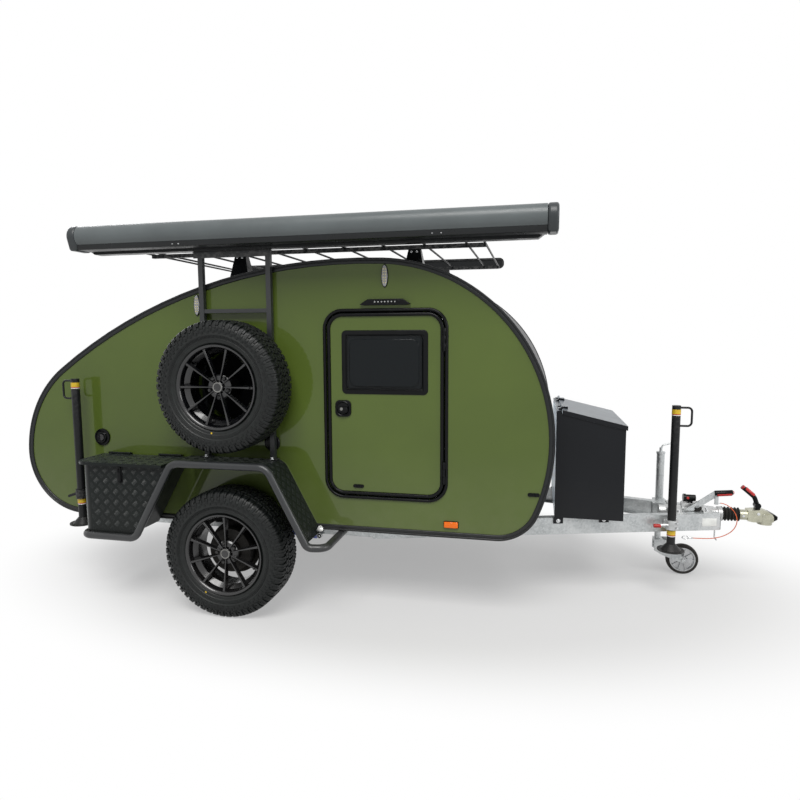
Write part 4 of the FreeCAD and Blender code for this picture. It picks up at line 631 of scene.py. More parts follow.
# A light grey, almost metal finish for the bead round a pane: a painted highlight.
highlight_rim_finish = surface("acrylic_rim", (0.2, 0.23, 0.25), 0.15, 0.7, Coat_Weight=1.0, Coat_Roughness=0.05)
shader_input(highlight_rim_finish, "Roughness", between(highlight_rim_finish, cloud(highlight_rim_finish, 12, 3.0), 0.12, 0.25))
white = surface("white_lens", (0.8, 0.8, 0.79), 0.2, Coat_Weight=0.8, Coat_Roughness=0.05)
relief(white, (cells(white, 220).outputs["Distance"], 0.7))
shader_input(white, "Roughness", between(white, cloud(white, 60), 0.15, 0.3))
LED = (0.85, 0.72, 0.30)
weathered(surface("led_yellow", LED, 0.3), LED, 0.06, (0.25, 0.35), patch=80)
mirror_cup = surface("reflector", (0.75, 0.75, 0.76), 0.15, 1.0)
relief(mirror_cup, (cells(mirror_cup, 260).outputs["Distance"], 0.6))

# %% [markdown]
# ## Boards, floor and cloth
# Birch plywood has long grain along the board. The floor is grey vinyl, and the mattress cover a
# plain weave: two crossed waves give threads 2 mm apart.

# %% Interior finishes
ply = surface("birch_ply", (0.55, 0.42, 0.26), 0.5)
grain = cloud(ply, 9, 8.0, (1, 14, 1), 0.65)
PLY_DARK, PLY_LIGHT = (0.46, 0.33, 0.19), (0.62, 0.49, 0.32)
shader_input(ply, "Base Color", mixed(ply, between(ply, grain, 0, 1, 0.3, 0.7), PLY_DARK, PLY_LIGHT))
shader_input(ply, "Roughness", between(ply, grain, 0.42, 0.6))
relief(ply, (grain, 0.12))
VINYL = (0.16, 0.16, 0.155)
vinyl = weathered(surface("floor_vinyl", VINYL, 0.6), VINYL, 0.15, (0.5, 0.68), patch=20)
relief(vinyl, (cloud(vinyl, 300, 2.0), 0.08))
cloth = surface("mattress_cloth", (0.30, 0.31, 0.32), 0.85, Sheen_Weight=0.3)
THREADS = 160.0
threads = [add_node(cloth, "TexWave", [("Vector", place(cloth)), ("Scale", THREADS), ("Distortion", 0.6)],
                    bands_direction=way).outputs["Fac"] for way in ("X", "Y")]
weave = add_node(cloth, "Math", [(0, threads[0]), (1, threads[1])], operation="MULTIPLY").outputs[0]
shader_input(cloth, "Base Color", mixed(cloth, weave, (0.21, 0.22, 0.23), (0.37, 0.38, 0.39)))
shader_input(cloth, "Roughness", between(cloth, cloud(cloth, 30), 0.78, 0.92))
relief(cloth, (weave, 0.35), (cloud(cloth, 12, 3.0), 1.0))

# %% [markdown]
# ## Tyre rubber
# The carcass shows dusty patches and a mottled sidewall. The tread blocks are duller, and their
# darker rubber is painted shade on the tread.

# %% Tyre finishes
# The blocks' rubber is a little darker than the sidewall's: painted shade on the tread.
SIDEWALL, SHADED_BLOCKS = (0.0046, 0.0062, 0.0058), (0.0038, 0.0050, 0.0050)
wall_rubber = surface("sidewall_rubber", SIDEWALL, 0.42, Specular_IOR_Level=0.34)
weathered(wall_rubber, SIDEWALL, 0.45, (0.34, 0.56), patch=26)
relief(wall_rubber, (cloud(wall_rubber, 380, 4.0), 0.12), (cloud(wall_rubber, 90, 3.0), 0.5))
tread_rubber = surface("tread_rubber", SHADED_BLOCKS, 0.45, Specular_IOR_Level=0.3)
weathered(tread_rubber, SHADED_BLOCKS, 0.25, (0.38, 0.6), patch=22)
relief(tread_rubber, (cloud(tread_rubber, 380, 4.0), 0.12), (cloud(tread_rubber, 40, 2.0), 0.3))
print(len(finishes), "finishes")

# %% [markdown]
# ## Picking vertices and repeating a shape
# `pick` selects vertices by a test on their place, and leaves edit mode on for the next operator.
# `ringed` copies a piece round an axis and joins the copies, as spin with duplicates does.

# %% Helpers for the wheels


def pick(piece, test):
    if piece.mode == "EDIT":
        bpy.ops.object.mode_set(mode="OBJECT")
    only(piece)
    bpy.ops.object.mode_set(mode="EDIT")
    bpy.ops.mesh.select_mode(type="VERT")
    bpy.ops.mesh.select_all(action="DESELECT")
    bpy.ops.object.mode_set(mode="OBJECT")
    for vertex in piece.data.vertices:
        vertex.select = test(vertex.co)
    bpy.ops.object.mode_set(mode="EDIT")


def pulled(name, points, pull, edge=1.0):
    """A face through points in metres, pulled out by a vector in mm."""
    outline(name, points, close=True)
    bpy.ops.mesh.extrude_region_move(TRANSFORM_OT_translate={"value": Vector(pull) * MM})
    finish_edit()
    piece = added(name)
    return soften(piece, edge, 1) if edge else smooth(piece)


def turn_about(centre, axis, degrees):
    centre = Vector(centre)
    turn = Matrix.Rotation(math.radians(degrees), 4, axis)
    return Matrix.Translation(centre) @ turn @ Matrix.Translation(-centre)


def ringed(name, piece, count, centre, axis, first=0.0):
    """`count` copies of a piece, evenly round an axis."""
    copies = [moved(twin(piece, name), turn_about(centre, axis, first + 360 * k / count))
              for k in range(count)]
    bpy.data.objects.remove(piece)
    return join(name, copies)


# %% [markdown]
# ## Ten-spoke alloy wheels
# A cast wheel is a spun barrel with a hub and spokes. The barrel is a closed profile turned once
# round the axle. One spoke is drawn from the side, pulled to its thickness and widened towards the
# rim, then copied ten times. The left wheel is made first; the right one and the spare are mirrored
# copies of it.

# %% The rim
WHEEL = (0, 900, 362)
HUB = at(*WHEEL)
Y_AXIS = Vector((0, 1, 0))
BOLTS, BOLT_CIRCLE, SPOKES = 5, 56, 10


def wheel_point(radius, across, offset):
    """A point of the left wheel: its radius, how far along the tangent, and offset outboard."""
    return HUB + Vector((radius, offset, across)) * MM


def beyond(reach):
    """A test for vertices more than `reach` mm in front of the axle."""
    return lambda co: (co - HUB).x > reach * MM


def on_face(co):
    """A test for the outboard face of the spoke, which slopes outwards to the rim."""
    return (co - HUB).y > 0.055 + 0.12 * (co - HUB).x


def axial(name, radius, start, end, *shape):
    """A bar parallel to the axle, between two offsets from the wheel's middle."""
    return bar(name, (radius, WHEEL[1] + start, WHEEL[2]), (radius, WHEEL[1] + end, WHEEL[2]), *shape)


barrel = [(230, 98), (229, 100), (225, 100), (219, 97), (214, 90), (211.5, 84), (208, 58), (186, 36),
          (186, -54), (209, -66), (212, -90), (223, -100), (229, -100), (230, -92), (219, -88), (217, -70),
          (194, -56), (194, 38), (216, 60), (219, 88), (230, 92), (230, 98)]
rim_parts = [turned("barrel", barrel, WHEEL, Y_AXIS, 96, 30)]
side = [(28, 66), (60, 71), (120, 76), (170, 83), (213, 90), (211, 66), (170, 57), (110, 50), (60, 44),
        (28, 42)]
spoke = pulled("spoke", [wheel_point(r, -6, w) for r, w in side], (0, 0, 12), 0)
for test, wider in ((beyond(100), 1.4), (beyond(150), 1.35), (beyond(200), 1.25), (on_face, 0.42)):
    pick(spoke, test)
    bpy.ops.transform.resize(value=(1, 1, wider), center_override=HUB)
bpy.ops.object.mode_set(mode="OBJECT")
soften(spoke, 1.4, 2, 14)
rim_parts.append(ringed("spokes", spoke, SPOKES, HUB, "Y"))
hub = turned("hub", [(0, 40), (68, 40), (70, 43), (69, 50), (62, 57), (38, 59), (34, 57), (34, 50), (0, 50)],
             WHEEL, Y_AXIS, 80, 30)
well = axial("well", BOLT_CIRCLE, 48, 85, 11.5, 0)
wells = ringed("wells", well, BOLTS, HUB, "Y", 18)
modify(hub, "BOOLEAN", object=wells, operation="DIFFERENCE", solver="EXACT")
bpy.data.objects.remove(wells)
rim_parts.append(hub)
rim_parts.append(turned("cap", [(0, 75.5), (18, 75), (25, 73), (29, 70), (30, 58)], WHEEL, Y_AXIS, 48, 30))
rim_parts.append(bar("valve", (205, WHEEL[1] + 62, WHEEL[2]), (190, WHEEL[1] + 96, WHEEL[2]), 4))
rim = join("wheel_rim", rim_parts)
nut = axial("nut", BOLT_CIRCLE, 48, 66, 9.8, 1.5, 6)
nuts = ringed("wheel_nuts", nut, BOLTS, HUB, "Y", 18)
cap_ring = turned("cap_ring", [(21, 74.9), (24, 76), (27, 75.6), (28.6, 73), (27, 71.5), (21, 74.9)], WHEEL,
                  Y_AXIS, 48, 30)
print("rim:", len(rim.data.polygons), "faces")

# %% [markdown]
# ## All-terrain tyres
# The carcass is spun like the rim. The tread is made of blocks on it: a pair of centre blocks and a
# shoulder block on each side make one pitch, and a pitch is repeated 54 times. Each block is cut in
# two by a sipe, and every other shoulder block reaches further down the sidewall. The crown drops a
# little towards the shoulders. Low lugs and a ring of fine ribs stand on the sidewall below them.

# %% The tyre
PITCHES = 54
CROWN, CROWN_DROP, CROWN_HALF = 361.4, 3, 112
wall = [(219.5, 87.5), (231, 88), (236, 91), (241, 97), (247, 98.5), (252, 98), (255, 99), (257, 102),
        (260, 102.8), (262, 101.4), (274, 106.4), (279, 108), (281, 110.6), (285, 111.4), (287, 109.8),
        (297, 111), (309, 110.4), (318, 108), (325, 105), (336, 99.5), (345, 93), (350.5, 86), (352, 76),
        (352.5, 45)]
inside = [(345, 45), (343, 84), (330, 95), (297, 101), (250, 90), (219.5, 68)]
profile = wall + [(352.5, 0)] + [(r, -w) for r, w in wall[::-1]] + [(r, -w) for r, w in inside[::-1]] + inside
carcass = turned("carcass", profile + profile[:1], WHEEL, Y_AXIS, 144, 50)

blocks = []
for side_sign in (1, -1):
    for low, high, skew, start in ((3, 28, 7, 0), (32, 58, -7, 20)):
        for t0, t1 in ((0.0, 14.5), (16.0, 31.0)):
            top = CROWN - (high / CROWN_HALF) ** 2 * CROWN_DROP
            corners = [(start + t0, low), (start + t1, low), (start + t1 + skew, high),
                       (start + t0 + skew, high)]
            face = [wheel_point(top, t - 21, side_sign * w) for t, w in corners]
            blocks.append(pulled("block", face, (-11, 0, 0), 1.1))
    for end, (t0, t1) in (((333, 108), (2, 14)), ((318, 111.8), (15.4, 30))):
        section = [(360.4, 62), (359.6, 80), (357, 90), (352, 98), (343, 104), end, (end[0] - 2, end[1] - 8),
                   (346, 84), (349, 62)]
        face = [wheel_point(r, t0 - 16, side_sign * w) for r, w in section]
        blocks.append(pulled("shoulder", face, (0, 0, t1 - t0), 1.1))
    for section, starts, wide in (
            (((328, 107), (322, 110.6), (309, 112.3), (309, 109), (326, 104)), (-17,), 3),
            (((315, 108), (314, 111.6), (301, 112.8), (299, 112.2), (299, 108)), (-13,), 13),
            (((305, 108), (304, 112.4), (292, 112.9), (290, 111.5), (290, 108)), (4,), 11),
            (((276, 104), (276, 108.6), (274, 109), (265, 105), (264, 103.4), (264, 100)),
             (-15, -7, 1, 9), 3)):
        face = [Vector((r, side_sign * w)) for r, w in section]
        for start in starts:
            blocks.append(pulled("relief", [wheel_point(r, start, w) for r, w in face], (0, 0, wide), 0))
blocks = ringed("tread", join("pitch", blocks), PITCHES, HUB, "Y")
print("tyre:", len(carcass.data.polygons) + len(blocks.data.polygons), "faces,", PITCHES, "pitches")

# %% [markdown]
# ## Fitting the wheels
# The spare hangs on the ladder at another place, so its copy is mirrored and then shifted. Each
# copy gets a turn of its own, because wheels never stop with their spokes in line. The paint dots
# on a sidewall mark the tyre's light and high points.

# %% Left, right and spare
SPARE = at(5, -927, 1295)
mark = axial("mark", 248, 96, 99.4, 5, 0.5)
outwards = Matrix.Translation((0.05, 0.0128, 0))
dots = {"yellow_paint": moved(twin(mark, "dot"), turn_about(HUB, "Y", 97)),
        "red_plastic": moved(twin(mark, "dot"), turn_about(HUB, "Y", 198) @ outwards)}
bpy.data.objects.remove(mark)
places = {
    "left": ("road_wheel_left", Matrix.Identity(4), 11, ("wheel_rim_left", "wheel_tyre_left")),
    "right": ("road_wheel_right", MIRROR, 20, ("wheel_rim_right", "wheel_tyre_right")),
    "spare": ("trailer", Matrix.Translation(SPARE - MIRROR @ HUB) @ MIRROR, 0, ("spare_rim", "spare_tyre")),
}
for where, (body, shift, turn, (rim_node, tyre_node)) in places.items():
    put = shift @ turn_about(HUB, "Y", turn)
    fit(moved(twin(rim, "rim_" + where), put), body, "rim_lacquer", [rim_node])
    fit(moved(twin(nuts, "wheel_nuts_" + where), put), body, "powder_black")
    fit(moved(twin(cap_ring, "cap_ring_" + where), put), body, "key_steel")
    fit(moved(twin(carcass, "tyre_" + where), put), body, "sidewall_rubber", [tyre_node])
    fit(moved(twin(blocks, "tread_" + where), put), body, "tread_rubber")
    for finish, dot in dots.items():
        fit(moved(twin(dot, finish.split("_")[0] + "_dot_" + where), put), body, finish)
for piece in (rim, nuts, cap_ring, carcass, blocks, *dots.values()):
    bpy.data.objects.remove(piece)

# %% [markdown]
# ## Walls, roof and floor
# These panels have the right shape already, so each is a copy of its node with the triangles merged
# back into faces and the edges given a small round. The frame keeps the original for collisions.

# %% Plain panels
for node, width, finish in (
        ("side_walls", 1.0, "olive_lacquer"), ("roof_shell", 1.2, "roof_skin"),
        ("rear_hatch", 1.5, "roof_skin"), ("rear_valance", 1.5, "roof_skin"),
        ("cabin_floor", 1.0, "floor_vinyl"), ("galley_unit", 1.2, "birch_ply"),
        ("door_panel_left", 1.2, "olive_lacquer"), ("door_panel_right", 1.2, "olive_lacquer")):
    recut(node, node + "_panel", width, finish)

# %% [markdown]
# ## The teardrop's outline
# The side view is a flat sill and five arcs that run into one another, and a sixth that closes the
# loop. The edge trim follows it: an aluminium extrusion with a rounded lip, a groove and a flat
# band, which is carried round the outline as one closed moulding.

# %% Edge trims
SILL = (1477.0, 470.0)
ARCS = ((240.0, 67.0), (998.0, 49.7), (958.0, 60.3), (3200.0, 38.9), (668.0, 51.7))
ARC_STEP = 2.5


def body_line():
    """(x, z) points round the body, counter-clockwise from the sill's front end."""
    (x, z), heading, points = SILL, 0.0, []
    for radius, turn in ARCS + ((None, 360 - sum(turn for _, turn in ARCS)),):
        after = heading + math.radians(turn)
        radius = radius or (SILL[1] - z) / (math.cos(heading) - math.cos(after))
        cx, cz = x - radius * math.sin(heading), z + radius * math.cos(heading)
        count = max(3, round(turn / ARC_STEP))
        points += [(cx + radius * math.sin(a), cz - radius * math.cos(a)) for a in
                   (heading + (after - heading) * k / count for k in range(count))]
        x, z, heading = cx + radius * math.sin(after), cz - radius * math.cos(after), after
    return points + [(x, z)]


TRIM_SECTION = [(0.4, -29), (0.4, 4), (1.2, 6.2), (3.5, 7.8), (9, 7.8), (11.5, 6.6), (12.5, 4.6), (14.5, 4.6),
                (15.5, 6.4), (17.5, 7.2), (28, 7.2), (31, 6), (33, 3), (33, 0.2), (6.2, 0.2), (6.2, -29)]
WALL_Y = spans("side_walls")[1][1]
line = body_line()
trims = [moulding("trim_" + side, line, TRIM_SECTION, WALL_Y, sign, 50) for side, sign in SIDES.items()]
fit(join("edge_trim", trims), "trailer", "satin_trim", ["edge_trims"])
print("outline of", len(line), "points")

# %% [markdown]
# ## Door frames
# The doorway has a half-round moulding on the wall, and the door a second one beside it, with the
# running gap between them. Both are interrupted at the hinges, so a piece of each is cut away with
# a boolean before the barrels go in.

# %% Door mouldings and hinges
DOOR_X, _, DOOR_Z = spans("door_frames")
DOOR_CORNER = 110
HINGES_Z = (830, 1545)
HINGE = (1198.5, 778)
HINGE_ENDS, HINGE_LEAF_Y = (1183, 1213), (770.5, 775.5)


def shrunk(x, z, corner, inset, steps=10):
    return rounded((x[0] + inset, x[1] - inset), (z[0] + inset, z[1] - inset), corner - inset, steps)


def half_round(width, height):
    """Section of a half-round bar; u runs inwards from the outline."""
    turns = [math.pi * k / 9 for k in range(10)]
    return [(width * (1 - math.cos(a)) / 2, height * math.sin(a) ** 0.7) for a in turns]


for side, sign in SIDES.items():
    ring = moulding("frame_" + side, shrunk(DOOR_X, DOOR_Z, DOOR_CORNER, 0), half_round(18, 12), WALL_Y, sign)
    leaf = moulding("leaf_" + side, shrunk(DOOR_X, DOOR_Z, DOOR_CORNER, 23), half_round(20, 12), WALL_Y, sign)
    rooms, fixed, moving = [], [], []
    pivot = (HINGE[0], sign * HINGE[1])
    for z in HINGES_Z:
        rooms.append(upright("room", pivot, z - 63, z + 63, 11, 0, 24))
        fixed.append(upright("pin", pivot, z - 61.5, z + 61.5, 3.9, 0.8))
        for low, high, group in ((-60, -20.6, fixed), (-19.6, 19.6, moving), (20.6, 60, fixed)):
            group.append(upright("barrel", pivot, z + low, z + high, 7.9, 1.2))
            reach = (HINGE[0], HINGE_ENDS[1]) if group is fixed else (HINGE_ENDS[0], HINGE[0])
            thick = sorted(sign * y for y in HINGE_LEAF_Y)
            group.append(block("leaf", reach, thick, (z + low, z + high), 0.8))
            screw = [(sum(reach) / 2, sign * y, z + (low + high) / 2) for y in (774, 777)]
            group.append(bar("screw", *screw, 3.2, 0.8, 16))
    cutter = join("rooms", rooms)
    for piece in (ring, leaf):
        modify(piece, "BOOLEAN", object=cutter, operation="DIFFERENCE", solver="EXACT")
        smooth(piece, 40)
    bpy.data.objects.remove(cutter)
    fit(join("door_surround_" + side, [ring] + fixed), "trailer", "moulded_black",
        ["door_frames"] if side == "left" else ())
    fit(join("door_moulding_" + side, [leaf] + moving), "door_" + side, "moulded_black",
        ["door_fittings_" + side])

# %% [markdown]
# ## Door windows
# The window is a moulded frame with a thin raised rib, and a smoked acrylic pane that is blown
# into a shallow dome with large round corners. The pane is a sheet and a dome over it, the dome
# with a wide soft bevel. A fine light bead round its top is a painted highlight on the dome's edge.
# Two stays hold it from inside.

# %% Window frames and panes
WINDOW_X, _, WINDOW_Z = spans("window_frame_left")
FLANGE_CORNER, WINDOW_CORNER = 26, 50
STAYS_X, STAYS_Z = (693, 1046), (1410, 1515)
FLANGE = [(0, 0.2), (0, 2.5), (1, 4.2), (3, 5), (21, 6.4), (23, 7), (24, 9.6), (25.2, 10.4), (26.6, 9.6),
          (27.5, 7.4), (29.8, 6.4), (29.8, 0.2)]
LINING = [(25.5, 0.3), (39, 0.3), (39, -33.5), (24.2, -33.5), (24.2, -1)]


def pane_line(ends, low, high, corner):
    """A round-cornered outline that lies inside the window's frame by these distances."""
    return rounded((WINDOW_X[0] + ends, WINDOW_X[1] - ends), (WINDOW_Z[0] + low, WINDOW_Z[1] - high),
                   corner, 10)


for side, sign in SIDES.items():
    frame_ring = moulding("flange", rounded(WINDOW_X, WINDOW_Z, FLANGE_CORNER, 8), FLANGE, WALL_Y, sign)
    lining = moulding("lining", rounded(WINDOW_X, WINDOW_Z, WINDOW_CORNER, 8), LINING, WALL_Y, sign)
    gasket = moulding("gasket", shrunk(WINDOW_X, WINDOW_Z, WINDOW_CORNER, 31, 8), half_round(11, 5.8), 766.5,
                      sign)
    fit(join("window_surround_" + side, [frame_ring, lining, gasket]), "door_" + side,
        "moulded_black", ["window_frame_" + side])
    sheet = slab("sheet", shrunk(WINDOW_X, WINDOW_Z, WINDOW_CORNER, 31.5, 8), (sign * 768.2, sign * 772), 1.0)
    dome = slab("dome", pane_line(47, 43, 47, 42), (sign * 770, sign * 781.5), 0)
    soften(dome, 7.5, 5, 60)
    # The bead's light grey is a painted highlight along the dome's edge.
    highlight_bead = moulding("pane_bead_" + side, pane_line(50, 46, 50, 39), half_round(4.5, 1.7), 779.6, sign)
    fit(highlight_bead, "door_" + side, "acrylic_rim")
    fit(join("window_acrylic_" + side, [sheet, dome]), "door_" + side, "smoked_acrylic",
        ["window_pane_" + side])
    stays = [block("stay", (x - 7, x + 7), sorted((sign * 755, sign * 764)), STAYS_Z, 2) for x in STAYS_X]
    fit(join("window_stays_" + side, stays), "door_" + side, "wheel_silver")

# %% [markdown]
# ## Locks and catches
# The lock is a rounded plate with a round dish; a paddle lies across the dish and a key barrel sits
# in it. Low on the door and far forward on the wall are the two halves of the catch that holds the
# door open.

# %% Door locks and catches
LOCK = (634, 1168)
DOOR_CATCH_X, WALL_CATCH_X, CATCH_Z = 717, 1671.5, 733


def wall_disc(name, centre, sign, profile, steps=48, angle=40):
    """A turned disc on the side wall; offsets run outwards."""
    return turned(name, profile, (centre[0], sign * WALL_Y, centre[1]), (0, sign, 0), steps, angle)


for side, sign in SIDES.items():
    plate = slab("plate", rounded((LOCK[0] - 46, LOCK[0] + 46), (LOCK[1] - 46, LOCK[1] + 46), 26),
                 (sign * (WALL_Y + 0.2), sign * 770), 2.5, 3)
    dish = wall_disc("dish", LOCK, sign, [(0, 9.2), (31, 9.2), (34, 11), (36.5, 15.6), (39.5, 16.8),
                                          (42.5, 14.5), (44, 7)])
    paddle = slab("paddle", rounded((LOCK[0] - 27, LOCK[0] + 30), (LOCK[1] - 24, LOCK[1] + 8), 14, 5),
                  (sign * 771, sign * 781), 3.5, 3)
    fit(join("lock_" + side, [plate, dish, paddle]), "door_" + side, "moulded_black")
    key = wall_disc("key", (LOCK[0] - 6, LOCK[1] - 2), sign, [(0, 21.4), (6.5, 21.4), (8.6, 20.6), (9.2, 12)],
                    24)
    fit(join("key_barrel_" + side, [key]), "door_" + side, "key_steel")
    for name, x, body in (("door_catch", DOOR_CATCH_X, "door_" + side),
                          ("wall_catch", WALL_CATCH_X, "trailer")):
        base = slab("base", rounded((x - 31, x + 31), (CATCH_Z - 10, CATCH_Z + 10), 9.5, 5),
                    (sign * (WALL_Y + 0.2), sign * 767), 1.5)
        knobs = [bar("knob", (x + off, sign * 766, CATCH_Z), (x + off, sign * 774, CATCH_Z), 6, 1.5, 20)
                 for off in (-14, 0, 14)]
        fit(join(name + "_" + side, [base] + knobs), body, "moulded_black")

# %% [markdown]
# ## Side lamps
# An amber marker low down, two clear oval position lamps near the roof, and a porch lamp over the
# door. Each is a dark base, a reflector tray and small diodes under or on it. The ovals are the same
# outline at two insets.

# %% Markers and porch lamps


def oval(x, z, half_x, half_z):
    turns = [math.tau * k / 32 for k in range(32)]
    return [(x + half_x * math.cos(a), z + half_z * math.sin(a)) for a in turns]


def off_wall(sign, low, high):
    """The y of two distances out from the side wall."""
    return sign * (WALL_Y + low), sign * (WALL_Y + high)


def diodes(name, sign, places, y, radius):
    """Small domes on the side wall."""
    foot, top = off_wall(sign, y, y + 2.2)
    return join(name, [bar("diode", (x, foot, z), (x, top, z), radius, 0, 12, radius * 0.6)
                       for x, z in places])


AMBER_X, AMBER_Z = (1196, 1278), (525, 564)
OVALS = ((875, 1884), (-238, 1746))
PORCH_X, PORCH_Z, PORCH_PITCH = (738, 1019), (1734, 1762), 18.4
for side, sign in SIDES.items():
    bases = [slab("base", rounded(AMBER_X, AMBER_Z, 6, 4), off_wall(sign, 0.2, 5), 1.0)]
    trays, lights = [], []
    for x, z in OVALS:
        bases.append(slab("base", oval(x, z, 20, 61), off_wall(sign, 0.2, 6), 1.5))
        trays.append(slab("tray", oval(x, z, 16, 57), off_wall(sign, 5, 9.5), 2.5, 3))
        lights += [(x + dx, z + dz) for dx in (-6, 6) for dz in (-36, -22, -8, 8, 22, 36)]
    lens = slab("lens", shrunk(AMBER_X, AMBER_Z, 8, 3, 4), off_wall(sign, 4, 13.5), 3, 3)
    (x0, x1), (z0, z1) = PORCH_X, PORCH_Z
    hood = slab("hood", [(x0, z0), (x0 + 24, z0 - 5), (x1 - 24, z0 - 5), (x1, z0), (x1 - 44, z1),
                         (x0 + 44, z1)], off_wall(sign, 0.2, 20), 3, 3)
    strip = slab("strip", rounded((x0 + 58, x1 - 58), (z0 + 7, z0 + 19), 3, 3), off_wall(sign, 19, 20.6), 0.5)
    fit(join("lamp_bases_" + side, bases + [hood, strip]), "trailer", "moulded_black",
        ["side_lamps"] if side == "left" else ())
    fit(lens, "trailer", "amber_lens").name = "marker_lens_" + side
    fit(join("lamp_trays_" + side, trays), "trailer", "clear_lens")
    fit(diodes("diodes_" + side, sign, lights, 8.8, 3.4), "trailer", "led_yellow")
    porch = [((x0 + x1) / 2 + PORCH_PITCH * k, z0 + 13) for k in range(-3, 4)]
    fit(diodes("porch_diodes_" + side, sign, porch, 20, 4.6), "trailer", "label_grey")

# %% [markdown]
# ## Inlets
# The round inlets are profiles turned on the wall: a soft outer ring, a dip, and a lid with a blunt
# edge. The tail one has a small dark window in its lid.

# %% Inlets and reflectors
INLET = [(52, 0.2), (52, 6), (50, 9), (46, 9.9), (40.5, 9.6), (37.5, 7.2), (35.5, 7.2), (34, 9), (34, 15.4),
         (32, 17.6), (25, 17.9), (22, 16.4), (0, 16.4)]
VENT = [(47, 0.2), (47, 6.5), (44.5, 9.4), (38, 9.9), (35, 8), (33, 8), (31, 9.6), (12, 9.9), (0, 9.9)]
REFLECTOR = [(0, 0), (36, 0), (36, 8), (33.5, 11), (30, 11), (29, 12.5), (0, 13.5)]
FLAP_TOP, FLAP_END = (276, 868), (492, 462)
INLET_PLACE, VENT_PLACE, REFLECTOR_PLACE = (-913, 958), (206, 960), (486, 842, 484)
for side, sign in SIDES.items():
    inlet = wall_disc("inlet", INLET_PLACE, sign, INLET, 56, 30)
    vent = wall_disc("vent", VENT_PLACE, sign, VENT, 56, 30)
    fit(join("inlets_" + side, [inlet, vent]), "trailer", "moulded_black",
        ["wall_fittings"] if side == "left" else ())
    eye = wall_disc("inlet_window_" + side, INLET_PLACE, sign,
                    [(19, 16.2), (19, 17.4), (15, 18), (0, 18)], 32, 30)
    fit(eye, "trailer", "dark_lens")
    slope = Vector((FLAP_END[0] - FLAP_TOP[0], 0, FLAP_END[1] - FLAP_TOP[1])).normalized()
    face = Vector((-slope.z, 0, slope.x))
    x, y, z = REFLECTOR_PLACE
    disc = turned("flap_reflector_" + side, REFLECTOR, (x, sign * y, z), face, 40, 30)
    fit(disc, "trailer", "white_lens")

# %% [markdown]
# ## Tail lamps
# The clusters follow the curve of the tail, so they are cut from the node itself: a copy is
# intersected with three boxes, one for each colour of lens.

# %% Tail lamp lenses
(_, _), (_, tail_out), (tail_low, tail_high) = spans("rear_lamps")
LAMP_WIDE, LENS_WIDE, LENS_PITCH = 220, 62, 64
tail_in = tail_out - LAMP_WIDE
amber_in = tail_in + LENS_PITCH
for colour, low, high in (("clear", tail_in, tail_in + LENS_WIDE), ("amber", amber_in, amber_in + LENS_WIDE),
                          ("red", amber_in + LENS_PITCH, tail_out)):
    for side, sign in SIDES.items():
        lens = recut("rear_lamps", "tail_lens_%s_%s" % (colour, side), 0.1, colour + "_lens", flat=False)
        keep = block("keep", (-2000, 0), sorted((sign * low, sign * high)), (tail_low - 9, tail_high + 9), 0)
        modify(lens, "BOOLEAN", object=keep, operation="INTERSECT", solver="EXACT")
        soften(lens, 3, 3)
        bpy.data.objects.remove(keep)

# %% [markdown]
# ## Tread plate
# The side boxes and mudguards are folded from aluminium tread plate: groups of five short bars
# that lie one way and then the other. One bar is modelled, then five of them, then a tile of two
# by two groups. Array modifiers repeat the tile, and bisecting the sheet along its edges cuts the
# bars off cleanly, as the shear does.

# %% Model a tile of tread plate
TILE = 62.0
BAR_HALF, BAR_WIDE, BAR_PITCH, BAR_HIGH = 15.0, 2.4, 6.6, 1.0


def tread_tile():
    """One group at a corner and one in the middle, drawn at the origin with the plate's face at z = 0."""
    end, mid = BAR_HALF, BAR_HALF * 0.6
    shape = [(end, 0), (mid, BAR_WIDE), (-mid, BAR_WIDE), (-end, 0), (-mid, -BAR_WIDE), (mid, -BAR_WIDE)]
    outline("tread_bar", [Vector((u, v, -0.2)) * MM for u, v in shape], close=True)
    bpy.ops.mesh.extrude_region_move(TRANSFORM_OT_translate={"value": (0, 0, (BAR_HIGH + 0.2) * MM)})
    bpy.ops.transform.resize(value=(0.75, 0.35, 1), center_override=(0, 0, 0))
    finish_edit()
    one = added("tread_bar")
    group = [moved(twin(one, "bar"), Matrix.Translation((0, k * BAR_PITCH * MM, 0))) for k in range(-2, 3)]
    bpy.data.objects.remove(one)
    group = join("group", group)
    tile = []
    for middle, turn in ((TILE / 4, 45), (TILE * 3 / 4, -45)):
        put = Matrix.Translation((middle * MM, middle * MM, 0)) @ Matrix.Rotation(math.radians(turn), 4, "Z")
        tile.append(moved(twin(group, "group"), put))
    bpy.data.objects.remove(group)
    return join("tread_tile", tile)


tile = tread_tile()


def flat_tread(name, shape):
    """Tread pattern at the origin, inside a convex outline of (u, v) mm."""
    sheet = twin(tile, name)
    for way, reach in ((Vector((1, 0, 0)), max(u for u, _ in shape)),
                       (Vector((0, 1, 0)), max(v for _, v in shape))):
        modify(sheet, "ARRAY", count=int(reach / TILE) + 1, use_relative_offset=False,
               use_constant_offset=True, constant_offset_displace=way * TILE * MM)
    bpy.ops.object.mode_set(mode="EDIT")
    for (u0, v0), (u1, v1) in zip(shape, shape[1:] + shape[:1]):
        bpy.ops.mesh.select_all(action="SELECT")
        outwards = Vector((v1 - v0, u0 - u1, 0)).normalized()
        bpy.ops.mesh.bisect(plane_co=Vector((u0, v0, 0)) * MM, plane_no=outwards, clear_outer=True)
    bpy.ops.object.mode_set(mode="OBJECT")
    return smooth(sheet, 20)


